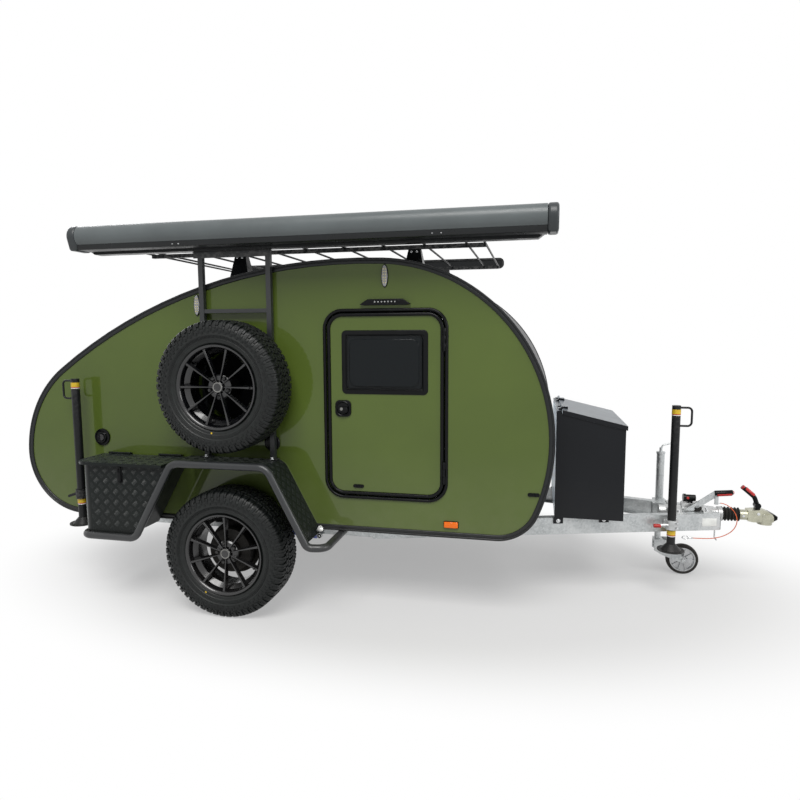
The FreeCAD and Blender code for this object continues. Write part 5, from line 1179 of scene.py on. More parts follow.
def tread(name, corner, along, up, shape):
    """The same on a flat face, with the outline's u along the face and v up it from a corner."""
    along, up = Vector(along).normalized(), Vector(up).normalized()
    put = Matrix((along, up, along.cross(up))).transposed().to_4x4()
    return moved(flat_tread(name, shape), Matrix.Translation(at(*corner)) @ put)


def oblong(u, v):
    """A rectangle's corners, counter-clockwise."""
    return [(u[0], v[0]), (u[1], v[0]), (u[1], v[1]), (u[0], v[1])]


# %% [markdown]
# ## Side boxes and mudguards
# The walls, lids and mudguards come from the frame. The tread lies on their outer faces, and stops
# short of the folds. On the left side the pattern is the mirror image. A narrow lip closes the gap
# between the bottom of the box and the guard rail.

# %% Plate work
for node, width in (("storage_boxes", 1.2), ("mudguards", 1.0), ("storage_lid_left", 3.0),
                    ("storage_lid_right", 3.0)):
    recut(node, node + "_plate", width, "plate_black", 3 if "lid" in node else 2)
recut("guard_rails", "guard_rail_tube", 0.6, "rail_coat")
for node in ("rear_leg_left", "rear_leg_right", "front_leg"):
    recut(node, node + "_tube", 0.6, "powder_black")

BOX_X, (_, BOX_Y), BOX_Z = spans("storage_boxes")
BOX_Z = (BOX_Z[0], 844)
BOX_FRONT = (-545.0, -327.6)
LID_X, LID_Y, _ = spans("storage_lid_left")
LID_TOP = 861.3
CORNER = 65
lean = (BOX_FRONT[1] - BOX_FRONT[0]) / (BOX_Z[1] - BOX_Z[0])
low, high, fold = 6, BOX_Z[1] - BOX_Z[0] - 8, CORNER + 4
front = BOX_FRONT[0] - BOX_X[0] - 6
side_face = [(fold, low), (front + lean * low, low), (front + lean * high, high), (fold, high)]
LID_BACK = 790
lid_wide, lid_deep = LID_X[1] - LID_X[0] - 8, LID_Y[1] - LID_BACK
lid_face = [(60, 8), (lid_wide, 8), (lid_wide, lid_deep), (6, lid_deep), (6, 80), (13, 48), (30, 22)]

# %% [markdown]
# ## Tread over a fold
# A mudguard is one sheet, bent once. Its tread is laid out flat, to the length of the sheet measured
# along the bend, and a Curve modifier then lays it over the fold. The curve is flat, so the sheet
# is turned on its edge before it is bent, and turned back afterwards.

# %% Bend the tread
GUARD_Y = (778, 992)
LIP_Z = (436, 456)
GUARD_START, GUARD_BEND, FOLD_STEP = -304, 78, 6
guard_wide = GUARD_Y[1] - GUARD_Y[0]
fold_turn = math.atan2(FLAP_TOP[1] - FLAP_END[1], FLAP_END[0] - FLAP_TOP[0])
fold_reach = GUARD_BEND * math.tan(fold_turn / 2)
flat_run, fold_run = FLAP_TOP[0] - fold_reach - GUARD_START, GUARD_BEND * fold_turn
guard_long = flat_run + fold_run + math.dist(FLAP_TOP, FLAP_END) - fold_reach - 5


def fold_point(s):
    """A point of the mudguard's upper face, s mm along it, from its rear end."""
    a = min(max(s - flat_run, 0) / GUARD_BEND, fold_turn)
    rest = max(s - flat_run - fold_run, 0)
    return (min(s, flat_run) + GUARD_BEND * math.sin(a) + rest * math.cos(a),
            -GUARD_BEND * (1 - math.cos(a)) - rest * math.sin(a))


def folded_tread(name):
    sheet = moved(flat_tread(name, oblong((0, guard_long), (0, guard_wide))),
                  Matrix.Rotation(-math.pi / 2, 4, "X"))
    path = flat_curve("fold", [fold_point(FOLD_STEP * k) for k in range(int(guard_long / FOLD_STEP) + 2)])
    path.data.splines[0].use_cyclic_u = False
    modify(sheet, "CURVE", object=path, deform_axis="POS_X")
    bpy.data.objects.remove(path)
    put = Matrix.Translation(at(GUARD_START, -GUARD_Y[1], FLAP_TOP[1])) @ Matrix.Rotation(math.pi / 2, 4, "X")
    return smooth(moved(sheet, put), 20)


for side, sign in SIDES.items():
    pieces = [
        tread("box_side", (BOX_X[0], -BOX_Y, BOX_Z[0]), (1, 0, 0), (0, 0, 1), side_face),
        tread("box_rear", (BOX_X[0], -LID_BACK, BOX_Z[0]), (0, -1, 0), (0, 0, 1),
              oblong((0, BOX_Y - LID_BACK - fold), (low, high))),
        folded_tread("guard_tread")]
    lid = tread("lid_tread_" + side, (LID_X[0], -LID_Y[1], LID_TOP), (1, 0, 0), (0, 1, 0), lid_face)
    sheet = join("plate_tread_" + side, pieces)
    lips = [block("lip", (BOX_X[0] + CORNER, BOX_FRONT[0] - 4), (-BOX_Y + 1, -BOX_Y + 3), LIP_Z, 0.4),
            block("lip", (BOX_X[0] + 1, BOX_X[0] + 3), (CORNER - BOX_Y, -LID_BACK), LIP_Z, 0.4)]
    # The bars take the lighter black, which is a painted highlight on them.
    for piece, body, finish in ((sheet, "trailer", "tread_bars"), (lid, "side_box_lid_" + side, "tread_bars"),
                                (join("box_lip_" + side, lips), "trailer", "plate_black")):
        if side == "left":
            moved(piece, MIRROR)
        fit(piece, body, finish)
bpy.data.objects.remove(tile)

# %% [markdown]
# ## Box latches
# Each side box is shut by a toggle latch: a base plate with two rivets, a lever that lies against
# it, and a wire loop that hooks over a catch on the lid. The front box has two of the same kind.

# %% Toggle latches


def latch(name, x, z_top, height):
    """A toggle latch on a face at y = 0 that looks to -y; its top is at z_top."""
    foot = z_top - height
    parts = [block("plate", (x - 18, x + 18), (-2.2, 0), (foot, z_top), 1.0),
             block("lever", (x - 11, x + 11), (-10, -2), (foot + 4, z_top - 34), 2.5, 3),
             block("lip", (x - 9, x + 9), (-13, -4), (foot, foot + 12), 2.0),
             block("catch", (x - 10, x + 10), (-9, 0), (z_top - 12, z_top - 3), 2.0)]
    for dx in (-8, 8):
        parts.append(bar("wire", (x + dx, -7, z_top - 42), (x + dx, -7, z_top - 8), 1.8, 0, 12))
    parts.append(bar("wire", (x - 9.5, -7, z_top - 8), (x + 9.5, -7, z_top - 8), 1.8, 0, 12))
    for dx, dz in ((-14, 12), (14, 12), (-14, height - 30), (14, height - 30)):
        parts.append(bar("rivet", (x + dx, -1, foot + dz), (x + dx, -4, foot + dz), 2.6, 0, 12, 1.6))
    return join(name, parts)


BOX_LATCH_X, BOX_LATCH_TOP = -620, 840
box_latch = latch("latch", BOX_LATCH_X, BOX_LATCH_TOP, 96)
for side in SIDES:
    piece = moved(twin(box_latch, "box_latch_" + side), Matrix.Translation((0, -BOX_Y * MM, 0)))
    if side == "left":
        moved(piece, MIRROR)
    fit(piece, "trailer", "moulded_black")
bpy.data.objects.remove(box_latch)

# %% [markdown]
# ## Front box
# The front box and its sloping lid have a thick, rough sprayed coat. The feet are bolted to the
# drawbar through their upright plates.

# %% Front box, latches and bolts
recut("front_box", "front_box_shell", 2.0, "sprayed_coat")
recut("front_box_lid", "front_lid_shell", 2.5, "sprayed_coat", 3)
FRONT_BOX_X, FRONT_LATCHES_Y, FRONT_LATCH_TOP = spans("front_box")[0][1], (-190, 190), 1020
front_latches = latch("front_latches", 0, FRONT_LATCH_TOP, 90)
face_forward = Matrix.Rotation(math.pi / 2, 4, "Z") @ TO_ORIGIN
pair = [moved(twin(front_latches, "latch"), Matrix.Translation(at(FRONT_BOX_X, y, 0)) @ face_forward)
        for y in FRONT_LATCHES_Y]
bpy.data.objects.remove(front_latches)
fit(join("front_box_latches", pair), "trailer", "powder_black")

BEAM_START, BEAM_END = (771, 669), (2765, 82)
BEAM_IN, BEAM_LONG = BEAM_START[1] - BEAM_END[1], BEAM_END[0] - BEAM_START[0]
BEAM_TURN = math.atan2(BEAM_IN, BEAM_LONG)


def beam_y(x):
    """Outer face of the left drawbar beam."""
    return BEAM_START[1] - (x - BEAM_START[0]) * BEAM_IN / BEAM_LONG


BOX_FEET_X, FOOT_BOLT_Z, FOOT_THICK = (1815, 2079), 482, 5
bolts = []
for x in BOX_FEET_X:
    for sign in (-1, 1):
        y = beam_y(x) + FOOT_THICK
        dx, dy = math.sin(BEAM_TURN), math.cos(BEAM_TURN)
        for reach, radius, sides in ((1.6, 12, 32), (8, 8.8, 6)):
            end = (x + dx * reach, sign * (y + dy * reach), FOOT_BOLT_Z)
            bolts.append(bar("bolt", (x, sign * y, FOOT_BOLT_Z), end, radius, 0.6, sides))
fit(join("box_foot_bolts", bolts), "trailer", "bright_bolt")

# %% [markdown]
# ## Chassis and running gear
# The chassis, axle and brake drums come from the frame with a small round on their edges. A pressed
# plate with a turned-up rim covers the inner face of each drum; it is wider than a real backing plate,
# a dark disc that also stands in for the shade behind the spokes. The dampers are modelled again,
# because a damper has a polished rod, a painted body and rubber eyes.

# %% Chassis, axle and dampers
for node, width, finish in (("chassis_frame", 1.5, "galvanised"), ("axle_beam", 1.2, "galvanised"),
                            ("brake_drum_left", 2.0, "cast_iron"), ("brake_drum_right", 2.0, "cast_iron")):
    recut(node, node + "_steel", width, finish)
# Wider than a drum's backing plate: its dark face is partly painted shade behind the spokes.
SHADE_BACK_PLATE = [(0, 0), (146, 0), (152, 3), (152, 9), (149, 9), (149, 5), (144, 3), (0, 3)]
BACK_PLATE_Y = 836
for side, sign in SIDES.items():
    plate = turned("back_plate_" + side, SHADE_BACK_PLATE, (0, sign * BACK_PLATE_Y, WHEEL[2]), (0, sign, 0), 64, 30)
    fit(plate, "trailer", "cast_iron")

DAMPER_Y = 664
DAMPER_REAR, DAMPER_ROD, DAMPER_BODY, DAMPER_FRONT = (78, 434), (240, 418), (430, 400), (445, 398.5)


def on_side(point, y):
    """A point (x, z) of the side view, at this y."""
    return point[0], y, point[1]


def short_tube(name, inner, outer, half, middle):
    """A short tube across the trailer."""
    wall = [(inner, -half), (outer, -half), (outer, half), (inner, half), (inner, -half)]
    return turned(name, wall, middle, (0, 1, 0), 32)


for side, sign in SIDES.items():
    y = sign * DAMPER_Y
    body = [bar("body", on_side(DAMPER_ROD, y), on_side(DAMPER_BODY, y), 22.6, 3)]
    steel = [bar("rod", on_side(DAMPER_REAR, y), on_side((250, 417), y), 8, 0)]
    rubber = []
    for point, inner, outer in ((DAMPER_REAR, 652, 708), (DAMPER_FRONT, 642, 679)):
        steel.append(short_tube("eye", 9, 16, 11, on_side(point, y)))
        steel.append(bar("bolt", on_side(point, sign * inner), on_side(point, sign * outer), 6, 1, 16))
        rubber.append(short_tube("bush", 5, 12, 13, on_side(point, y)))
    fit(join("damper_body_" + side, body), "trailer", "damper_blue",
        ["shock_absorbers"] if side == "left" else ())
    fit(join("damper_steel_" + side, steel), "trailer", "bright_bolt")
    fit(join("damper_bush_" + side, rubber), "trailer", "rubber")

# %% [markdown]
# ## Drawbar fittings
# The beams end in black plastic caps, and carry a blank plate on the right. The overrun device is
# bolted between them. Each bolt is a washer and a hexagon with its corners taken off.

# %% Overrun housing and bolts
recut("overrun_housing", "overrun_casting", 3.0, "cast_silver", 3)
HOUSING_BOLTS_X, BOLT_INSET = (2520, 2690), 28
bolts = []
for x in HOUSING_BOLTS_X:
    for sign in (-1, 1):
        y = sign * (beam_y(x) - BOLT_INSET)
        bolts += [upright("washer", (x, y), 510, 512, 13, 0.5), upright("nut", (x, y), 512, 521, 10, 1, 6)]
for x in (2590, 2650):
    bolts.append(upright("nipple", (x, 0), 540, 549, 4, 1, 12, 2.5))
for y in (-16, 16):
    bolts.append(upright("screw", (2700, y), 508, 516, 8, 1, 6))
fit(join("drawbar_bolts", bolts), "trailer", "bright_bolt")


def on_beam(piece, x, sign):
    """Move a piece modelled at x = 0, y = 0 to the outer face of a drawbar beam and turn it along."""
    put = Matrix.Translation(at(x, beam_y(x), 0)) @ Matrix.Rotation(-BEAM_TURN, 4, "Z") @ TO_ORIGIN
    return moved(piece, MIRROR @ put if sign < 0 else put)


caps = []
for sign in (-1, 1):
    cap = block("cap", (0, 4), (-49, -1), (401, 499), 2.5, 3)
    rim_of_cap = block("cap", (-3, 1), (-46, -4), (404, 496), 1)
    caps.append(on_beam(join("cap", [cap, rim_of_cap]), BEAM_END[0], sign))
fit(join("beam_caps", caps), "trailer", "moulded_black")
fit(bar("housing_cap", (2641, -40, 521), (2641, -64, 521), 24, 5), "trailer", "rubber")
TYPE_PLATE_X = 2700
for name, wide, low, high, out, finish in (("type_plate_edge", 47, 423, 475, 0.6, "cast_silver"),
                                           ("type_plate_blank", 44, 426, 472, 1.1, "label_white")):
    plate = block(name, (-wide, wide), (-0.3, out), (low, high), 0.2)
    fit(on_beam(plate, TYPE_PLATE_X, -1), "trailer", finish)

# %% [markdown]
# ## Gaiter and coupling head
# The rubber gaiter is one profile of soft folds, spun round the overrun shaft. The pressed head is
# yellow zinc; its tip is cut off with a plane and a black plastic nose is put in its place.

# %% Gaiter, head and handles
SHAFT_Z = 480
FOLDS, FOLD_START, FOLD_LENGTH = 5, 2790.5, 94.0
steps = FOLDS * 10
folds = [(36 + 2.5 * (1 - k / steps) + 5.5 * math.cos(math.tau * k * FOLDS / steps), FOLD_LENGTH * k / steps)
         for k in range(steps + 1)]
gaiter = turned("gaiter_folds", [(24, 0)] + folds + [(24, FOLD_LENGTH), (24, 0)], (FOLD_START, 0, SHAFT_Z),
                (1, 0, 0), 64, 50)
fit(gaiter, "trailer", "rubber", ["coupling_bellows"])

NOSE_X = 3060
head = recut("coupling_head", "coupling_pressing", 2.5, "yellow_zinc", 3)
only(head)
bpy.ops.object.mode_set(mode="EDIT")
bpy.ops.mesh.select_all(action="SELECT")
bpy.ops.mesh.bisect(plane_co=at(NOSE_X + 11, 0, 0), plane_no=(1, 0, 0), clear_outer=True, use_fill=True)
bpy.ops.object.mode_set(mode="OBJECT")
nose_side = [(10, 455), (30, 467), (30.5, 486), (0, 503), (-14, 509), (-12, 500), (10, 494)]
nose = slab("coupling_nose", [(NOSE_X + x, z) for x, z in nose_side], (-33.6, 33.6), 4, 3)
fit(nose, "trailer", "moulded_black")
pins = []
for x, z, radius in ((2905, 480, 8), (2985, 497, 9), (3018, 492, 6)):
    for sign in (-1, 1):
        base = 31 if x < 2930 else 33
        pins.append(bar("pin", (x, sign * (base - 4), z), (x, sign * (base + 5), z), radius, 1.5, 24))
fit(join("coupling_pins", pins), "trailer", "bright_bolt")


def inlay(name, start, end, radius, offset):
    """A red inlay in the underside of a round grip: a bar that stands out a little on one side."""
    shift = Vector(offset)
    return bar(name, Vector(start) + shift, Vector(end) + shift, radius, 3)


recut("coupling_handle", "coupling_handle_grip", 2.0, "moulded_black", 3)
red = [inlay("inlay", (2961, 0, 598), (2912, 0, 640), 12, (3.5, -2, 3)),
       bar("tip", (2906, 0, 645.5), (2897.5, 0, 652.5), 13.6, 3)]
fit(join("coupling_handle_inlay", red), "trailer", "red_plastic")
recut("handbrake_lever", "handbrake_steel", 2.0, "galvanised", 2)
grip = bar("handbrake_grip", (2731, -58, 617.8), (2832, -58, 627), 15.5, 4)
fit(grip, "trailer", "moulded_black")
red = [inlay("inlay", (2742, -58, 616), (2826, -58, 624.5), 13.5, (1, -1.5, -4)),
       bar("button", (2831, -58, 626.9), (2838, -58, 627.5), 9, 1.5)]
fit(join("handbrake_inlay", red), "trailer", "red_plastic")
recut("plug_holder", "parked_plug", 2.0, "moulded_black", 3)
fit(block("plug_flap_spring", (2584, 2598), (-34, -26), (566, 580), 2), "trailer",
    "red_plastic")

# %% [markdown]
# ## The cable's ends
# A crimped sleeve holds each end of the cable. The far end carries a snap hook: a ring of round wire
# that is pulled out into an oval, with a straight gate across it.

# %% Snap hook
SLEEVE_RADIUS, WIRE_RADIUS, LOOP_RADIUS, LOOP_STRETCH = 4.4, 2.2, 9, 1.9
first, last = CABLE_POINTS[0], CABLE_POINTS[-1]


def shifted(point, x=0.0, z=0.0):
    return point[0] + x, point[1], point[2] + z


hook = [bar("sleeve", shifted(last, 14), shifted(last, -8), SLEEVE_RADIUS, 1, 20)]
wire = [(LOOP_RADIUS + WIRE_RADIUS * math.cos(math.tau * k / 12), WIRE_RADIUS * math.sin(math.tau * k / 12))
        for k in range(13)]
loop = turned("loop", wire, shifted(last, -27), (0, 1, 0), 40, 60)
pick(loop, lambda co: True)
bpy.ops.transform.resize(value=(LOOP_STRETCH, 1, 1), center_override=at(*shifted(last, -27)))
bpy.ops.object.mode_set(mode="OBJECT")
hook += [loop, bar("gate", shifted(last, -36, 8.6), shifted(last, -18, 9.2), 2.6, 0.5, 16)]
hook = fit(join("snap_hook", hook), "trailer", "bright_bolt")
sleeve = fit(bar("cable_sleeve", shifted(first, -4), shifted(first, 12), SLEEVE_RADIUS, 1, 20),
             "trailer", "bright_bolt")
fit(cable, "trailer", "cable_orange", ["breakaway_cable"])
round(route_length(), 3)

# %% [markdown]
# ## Jockey wheel
# The tube, fork and inner tube come from the frame. The wheel is modelled as two pieces: a rubber
# tyre with a rounded tread, and a pressed silver disc with ten ribs between hub and rim.

# %% Jockey wheel
for node, width in (("jockey_tube", 1.5), ("jockey_inner_tube", 0.5), ("jockey_fork", 1.5)):
    recut(node, node + "_steel", width, "galvanised")
x, y, z = JOCKEY = (2630, 225, 100)
JOCKEY_RIBS = 10
band = [(79.5, -21), (90, -23.5), (96, -20), (99, -12), (100, 0), (99, 12), (96, 20), (90, 23.5), (79.5, 21),
        (79.5, -21)]
fit(turned("jockey_tyre", band, JOCKEY, (0, 1, 0), 72, 50), "jockey_roller", "rubber",
    ["jockey_wheel"])
JOCKEY_DISC = [(79, 19), (79, 22), (73, 22), (70, 6), (30, 5), (24, 12), (22, 26.5), (8.5, 26.5),
               (8.5, -26.5), (22, -26.5), (24, -12), (30, -5), (70, -6), (73, -22), (79, -22), (79, 19)]
disc = [turned("disc", JOCKEY_DISC, JOCKEY, (0, 1, 0), 72, 30)]
rib = block("rib", (x + 22, x + 73), (y - 15, y + 15), (z - 2.5, z + 2.5), 1.5)
disc.append(ringed("ribs", rib, JOCKEY_RIBS, at(*JOCKEY), "Y"))
fit(join("jockey_disc", disc), "jockey_roller", "wheel_silver")
nuts = [bar("nut", (x, inner, z), (x, outer, z), 12, 1, 6) for inner, outer in ((177.5, 184), (266, 272.5))]
fit(join("jockey_nuts", nuts), "jockey_caster", "bright_bolt")

# %% [markdown]
# ## Support legs
# Each leg's tube is drawn a quarter of a millimetre slimmer than the clamp's bore, so that their
# facets never cross as it slides. A leg has two bands of coloured tape, near its top and above its
# foot: yellow, with a narrow red and white edge. The rear clamps are black; the front one is
# galvanised with a red grip, so its part of the clamp mesh is separated.

# %% Leg bands and clamps
LEG_RADIUS, LEG_SLIMMER = 24, 0.99
LEGS = {"rear_support_left": (-1012, 850, 1264, 560), "rear_support_right": (-1012, -850, 1264, 560),
        "front_support": (2466, -213, 1104, 388)}
for body, (x, y, *heights) in LEGS.items():
    axis = at(x, y, 0)
    tube = bpy.data.objects[body.replace("support", "leg") + "_tube"]
    pick(tube, lambda co: (co - axis).xy.length < (LEG_RADIUS + 0.5) * MM)
    bpy.ops.transform.resize(value=(LEG_SLIMMER, LEG_SLIMMER, 1), center_override=axis)
    bpy.ops.object.mode_set(mode="OBJECT")
    for finish, low, high in (("yellow_paint", 8, 34), ("red_plastic", 3, 8), ("white_paint", -2, 3)):
        inner, outer = LEG_RADIUS - 1, LEG_RADIUS + 0.5
        wrap = [(inner, low), (outer, low), (outer, high), (inner, high)]
        rings = [turned("ring", wrap, (x, y, z), (0, 0, 1), 48) for z in heights]
        fit(join("tape_%s_%s" % (finish.split("_")[0], body), rings), body, finish)
clamps = recut("leg_clamps", "rear_leg_clamps", 2.0, "powder_black", 2)
pick(clamps, lambda co: co.x > AXLE.x)
bpy.ops.mesh.separate(type="SELECTED")
bpy.ops.object.mode_set(mode="OBJECT")
front_clamp = next(piece for piece in bpy.context.selected_objects if piece != clamps)
front_clamp.name = front_clamp.data.name = "front_leg_clamp"
fit(front_clamp, "trailer", "cast_silver")
fit(bar("front_clamp_grip", (2404, -237, 451), (2362, -237, 448), 11.5, 4), "trailer",
    "red_plastic")
bolts = [bar("bolt", (x, sign * 770, 622 + dz), (x, sign * 776, 622 + dz), 7, 1, 6)
         for x in (-1045, -979) for dz in (-33, 33) for sign in (-1, 1)]
bolts += [bar("bolt", (2492, -238, z), (2492, -250, z), 6, 1, 6) for z in (470, 442)]
fit(join("clamp_bolts", bolts), "trailer", "bright_bolt")

# %% [markdown]
# ## Awning
# The awning's case is an extrusion: one closed outline in the end view, pulled out along the
# trailer. A dark strip with rivets closes it below. The end caps are the same form, a little larger
# and with well rounded ends, and the adapter rail behind it comes from the frame.

# %% Awning case
NOSE_Y, NOSE_Z = 950, 2123
CASE_X = spans("awning_case")[0]
case_long = (CASE_X[1] - CASE_X[0], 0, 0)
nose_line = [(NOSE_Y + 52 * math.sin(a), NOSE_Z + 58 * math.cos(a))
             for a in (math.radians(5 * k) for k in range(28))]
case_line = [(868, 2077), (868, 2181)] + nose_line + [(984, 2077)]
strip_line = [(872, 2048.5), (976, 2048.5), (979, 2052), (982, 2070), (982, 2077.5), (872, 2077.5)]
# The case's grey is partly a painted reflection of the sky, lighter than the dark paint itself.
for name, line, finish, stands_for in (("awning_extrusion", case_line, "anthracite", ["awning_case"]),
                                       ("awning_strip", strip_line, "satin_trim", ())):
    piece = pulled(name, [at(CASE_X[0], -y, z) for y, z in line], case_long, 0.8)
    fit(piece, "trailer", finish, stands_for)
rivets = [bar("rivet", (x, -980, 2060), (x, -985.5, 2060), 4.2, 0, 16, 2.6) for x in (-240, -204, 1168, 1212)]
fit(join("awning_rivets", rivets), "trailer", "bright_bolt")
CAPS_X, (CAP_FRONT, _), (CAP_LOW, CAP_HIGH) = spans("awning_caps")
over_line = [(NOSE_Y - (NOSE_Y + CAP_FRONT) * math.sin(a), NOSE_Z + (CAP_HIGH - NOSE_Z) * math.cos(a))
             for a in (math.radians(5 * k) for k in range(23))]
cap_line = [(868, CAP_LOW), (868, CAP_HIGH)] + over_line + [(986, CAP_LOW + 8), (978, CAP_LOW)]
caps = []
for near, far in zip(CASE_X, CAPS_X):
    cap = pulled("cap", [at(near, -y, z) for y, z in cap_line], (far - near, 0, 0), 0)
    caps.append(soften(cap, 13, 4, 60))
fit(join("awning_end_caps", caps), "trailer", "cap_grey", ["awning_caps"])
recut("awning_rail", "awning_adapter", 1.2, "satin_trim")

# %% [markdown]
# ## Roof rack and ladder
# The rack's rails, rods and feet and the spare wheel's ladder are plain welded parts, so their nodes
# only need softer edges. The round plate behind the spare wheel is made near-black, painted shade for
# the dark seen behind the spokes, so its vertices are picked by their distance from the wheel's middle
# and separated. The bolts are added: two through each rack foot, and one through each foot plate of
# the ladder, on its washer.

# %% Rack, ladder and their bolts
CARRIER_REACH = 0.192
RACK_FEET_X, LADDER_FEET_X, LADDER_Y = (-52, 1000), (-187, 223), -812
for node, width, finish in (("rack_rails", 1.0, "powder_black"), ("rack_rods", 0.4, "powder_black"),
                            ("rack_feet", 1.5, "moulded_black"), ("spare_ladder", 1.2, "rail_coat")):
    recut(node, node + "_steel", width, finish)
carrier = bpy.data.objects["spare_ladder_steel"]
pick(carrier, lambda co: (co - SPARE).xz.length < CARRIER_REACH)
bpy.ops.mesh.separate(type="SELECTED")
bpy.ops.object.mode_set(mode="OBJECT")
carrier = next(piece for piece in bpy.context.selected_objects if piece != carrier)
carrier.name = carrier.data.name = "spare_carrier"
fit(carrier, "trailer", "dead_black")
bolts = [bar("bolt", (x + dx, sign * 581, 2030), (x + dx, sign * 590, 2030), 6.5, 1, 6)
         for x in RACK_FEET_X for dx in (-16, 16) for sign in (-1, 1)]
for x in LADDER_FEET_X:
    for radius, top, sides in ((13, 876, 32), (9, 886, 6)):
        bolts.append(upright("bolt", (x, LADDER_Y), 874, top, radius, 0.8, sides))
fit(join("roof_and_ladder_bolts", bolts), "trailer", "bright_bolt")

# %% [markdown]
# ## Hatch locks
# Two round locks with a folding handle hold the galley's hatch shut. Each is modelled facing
# forwards, then turned to the hatch's own slope, which a ray cast on the hatch finds.

# %% Hatch locks
HATCH_LOCK_Y, HATCH_LOCK_Z = 470, 760
LOCK_DISH = [(0, -2), (38, -2), (38, 4), (35, 7), (30, 7.5), (27, 3), (0, 3)]
hatch = bpy.data.objects["rear_hatch_panel"]
locks = []
for sign in (-1, 1):
    start = at(-3000, sign * HATCH_LOCK_Y, HATCH_LOCK_Z)
    _, spot, slope, _ = hatch.ray_cast(start, (1, 0, 0))
    lock = [turned("dish", LOCK_DISH, (0, 0, 0), (1, 0, 0), 56, 30),
            block("handle", (1, 11), (-24, 24), (-7, 7), 3, 3), block("stem", (1, 9), (-8, 8), (-9, 9), 2),
            bar("key", (10, 0, 0), (12.5, 0, 0), 5, 0.8, 24)]
    turn = slope.to_track_quat("X", "Z").to_matrix().to_4x4()
    locks.append(moved(join("lock", lock), Matrix.Translation(spot) @ turn @ TO_ORIGIN))
fit(join("hatch_locks", locks), "hatch", "moulded_black")

# %% [markdown]
# ## Mattress
# The mattress is blown up a little by Blender's cloth: a slightly smaller copy is remeshed, then
# pressure swells it for twenty frames. No point may move further than a limit, nor leave the space
# of the node, so its underside stays flat on the floor. The piping follows the swollen shape: it is
# the line in which a level plane cuts the cover.

# %% Swell the mattress
PAD_VOXEL, PAD_LIMIT, PAD_FRAMES, PAD_PRESSURE = 18, 12, 20, 4
PIPING, PIPING_HEIGHTS = 3.5, (18, 86)
pad_low, pad_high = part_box("mattress")
pad = recut("mattress", "mattress_pad", 10, "mattress_cloth", 3, flat=False)
middle = Vector(((pad_low.x + pad_high.x) / 2, 0, pad_low.z))
pick(pad, lambda co: True)
bpy.ops.transform.resize(value=(0.99, 0.985, 0.9), center_override=middle)
bpy.ops.object.mode_set(mode="OBJECT")
modify(pad, "REMESH", mode="VOXEL", voxel_size=PAD_VOXEL * MM)
rest = [vertex.co.copy() for vertex in pad.data.vertices]
swell = pad.modifiers.new("Swell", "CLOTH")
swell.settings.use_pressure = True
swell.settings.uniform_pressure_force = PAD_PRESSURE
swell.settings.effector_weights.gravity = 0
for frame_number in range(1, PAD_FRAMES + 1):
    bpy.context.scene.frame_set(frame_number)
only(pad)
bpy.ops.object.modifier_apply(modifier=swell.name)
bpy.context.scene.frame_set(1)
for vertex, start in zip(pad.data.vertices, rest):
    shift = vertex.co - start
    vertex.co = start + shift * min(1, PAD_LIMIT * MM / max(shift.length, 1e-9))
for vertex in pad.data.vertices:
    for axis in range(3):
        vertex.co[axis] = min(max(vertex.co[axis], pad_low[axis]), pad_high[axis])
modify(pad, "SUBSURF", levels=1, render_levels=1)
smooth(pad, 60)

seams = []
for height in PIPING_HEIGHTS:
    seam = twin(pad, "seam")
    only(seam)
    bpy.ops.object.mode_set(mode="EDIT")
    bpy.ops.mesh.select_all(action="SELECT")
    bpy.ops.mesh.bisect(plane_co=pad_low + Vector((0, 0, height)) * MM, plane_no=(0, 0, 1), clear_inner=True,
                        clear_outer=True)
    bpy.ops.object.mode_set(mode="OBJECT")
    seam.data.materials.clear()
    bpy.ops.object.convert(target="CURVE")
    seam.data.bevel_depth = PIPING * MM
    seam.data.bevel_resolution = 2
    bpy.ops.object.convert(target="MESH")
    seams.append(bpy.context.object)
fit(smooth(join("mattress_piping", seams), 60), "trailer", "mattress_cloth")

# %% [markdown]
# ## Floor and backdrop
# The floor is one wide pale sheet that takes the trailer's soft shadow. To the camera, and in
# reflections and through glass, it turns to plain white with distance, and so does the world behind
# it, so no horizon shows. Neither change throws any more light on the trailer.

# %% The studio


def seen(tree):
    """1 for rays from the camera, from a shiny surface or through glass."""
    path = tree.nodes.new("ShaderNodeLightPath")
    value = path.outputs["Is Camera Ray"]
    for ray in ("Is Glossy Ray", "Is Transmission Ray"):
        larger = tree.nodes.new("ShaderNodeMath")
        larger.operation = "MAXIMUM"
        tree.links.new(value, larger.inputs[0])
        tree.links.new(path.outputs[ray], larger.inputs[1])
        value = larger.outputs[0]
    return value


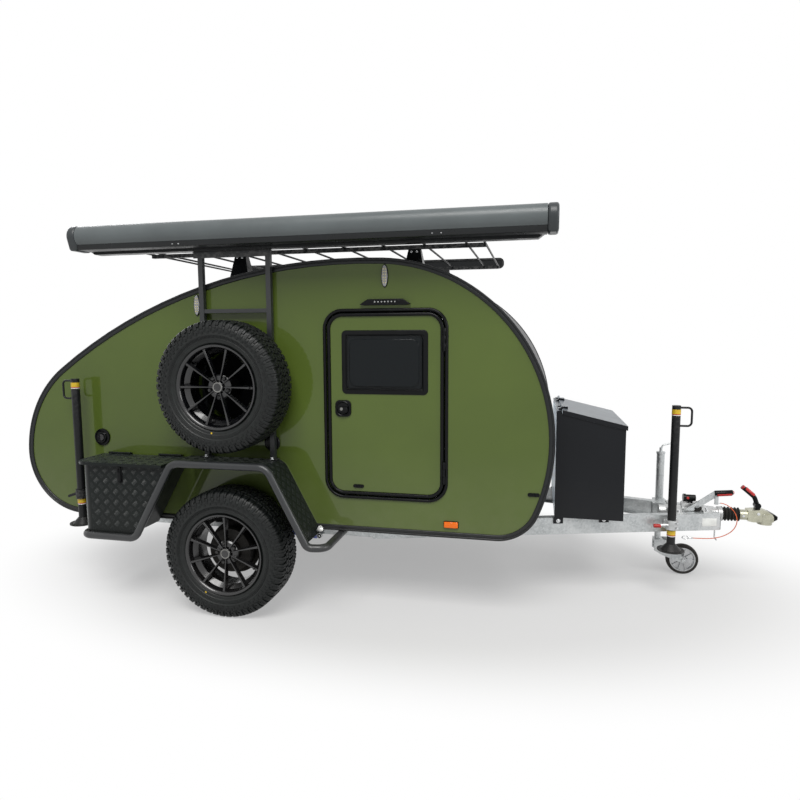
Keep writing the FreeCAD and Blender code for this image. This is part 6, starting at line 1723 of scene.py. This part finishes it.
FLOOR_SIZE, FADE_START, FADE_END, NEAR_SHARE, WORLD_LEVEL = 60, 1.0, 1.7, 0.37, 0.27
bpy.ops.mesh.primitive_grid_add(x_subdivisions=4, y_subdivisions=4, size=FLOOR_SIZE, location=(0, 0, 0))
floor = added("studio_floor")
ground = surface("studio_floor_pale", (0.64, 0.64, 0.64), 0.9, Specular_IOR_Level=0.1)
tree = ground.node_tree
spread = add_node(ground, "Mapping", [("Vector", place(ground)), ("Scale", (0.55, 1.0, 1.0))])
distance = add_node(ground, "VectorMath", [(0, spread.outputs[0])], operation="LENGTH").outputs["Value"]
fade = add_node(ground, "MapRange", [("Value", distance), ("From Min", FADE_START), ("From Max", FADE_END),
                                     ("To Min", NEAR_SHARE), ("To Max", 1.0)],
                interpolation_type="SMOOTHSTEP").outputs[0]
share = add_node(ground, "Math", [(0, fade), (1, seen(tree))], operation="MULTIPLY").outputs[0]
glow = add_node(ground, "Emission", [("Color", (1, 1, 1, 1)), ("Strength", 1.0)])
pale = tree.nodes["Principled BSDF"]
blend = add_node(ground, "MixShader", [(0, share), (1, pale.outputs[0]), (2, glow.outputs[0])])
tree.links.new(blend.outputs[0], tree.nodes["Material Output"].inputs["Surface"])
floor.data.materials.append(ground)

world = bpy.data.worlds.new("studio")
bpy.context.scene.world = world
world.use_nodes = True
tree = world.node_tree
lit, backdrop = tree.nodes["Background"], tree.nodes.new("ShaderNodeBackground")
blend = tree.nodes.new("ShaderNodeMixShader")
for sky, strength in ((lit, WORLD_LEVEL), (backdrop, 1.0)):
    sky.inputs["Color"].default_value = (1, 1, 1, 1)
    sky.inputs["Strength"].default_value = strength
tree.links.new(seen(tree), blend.inputs[0])
tree.links.new(lit.outputs[0], blend.inputs[1])
tree.links.new(backdrop.outputs[0], blend.inputs[2])
tree.links.new(blend.outputs[0], tree.nodes["World Output"].inputs["Surface"])

# %% [markdown]
# ## Lamps
# A large soft lamp high on the right side gives the main light, and lights the front of the wall a
# little more than the tail. A weaker one fills the front end, and a third lifts the tail and roof.

# %% Three soft lamps
for name, spot, aim, size, power, tint in (
        ("key_light", (1.5, -9.5, 12.5), (0, 0, 0.9), (9.0, 7.0), 1800, (1.0, 0.99, 0.97)),
        ("front_fill", (8.0, -2.5, 3.5), (1.0, 0, 0.8), (3.0, 3.0), 160, (1.0, 1.0, 1.0)),
        ("tail_fill", (-7.0, 3.0, 5.0), (-1.0, 0, 1.0), (4.0, 3.0), 180, (0.97, 0.98, 1.0))):
    turn = (Vector(aim) - Vector(spot)).to_track_quat("-Z", "Y").to_euler()
    bpy.ops.object.light_add(type="AREA", location=spot, rotation=turn)
    lamp = bpy.context.object
    lamp.name = name
    lamp.data.shape = "RECTANGLE"
    lamp.data.size, lamp.data.size_y = size
    lamp.data.energy = power
    lamp.data.color = tint
bpy.context.scene.view_settings.view_transform = "Standard"
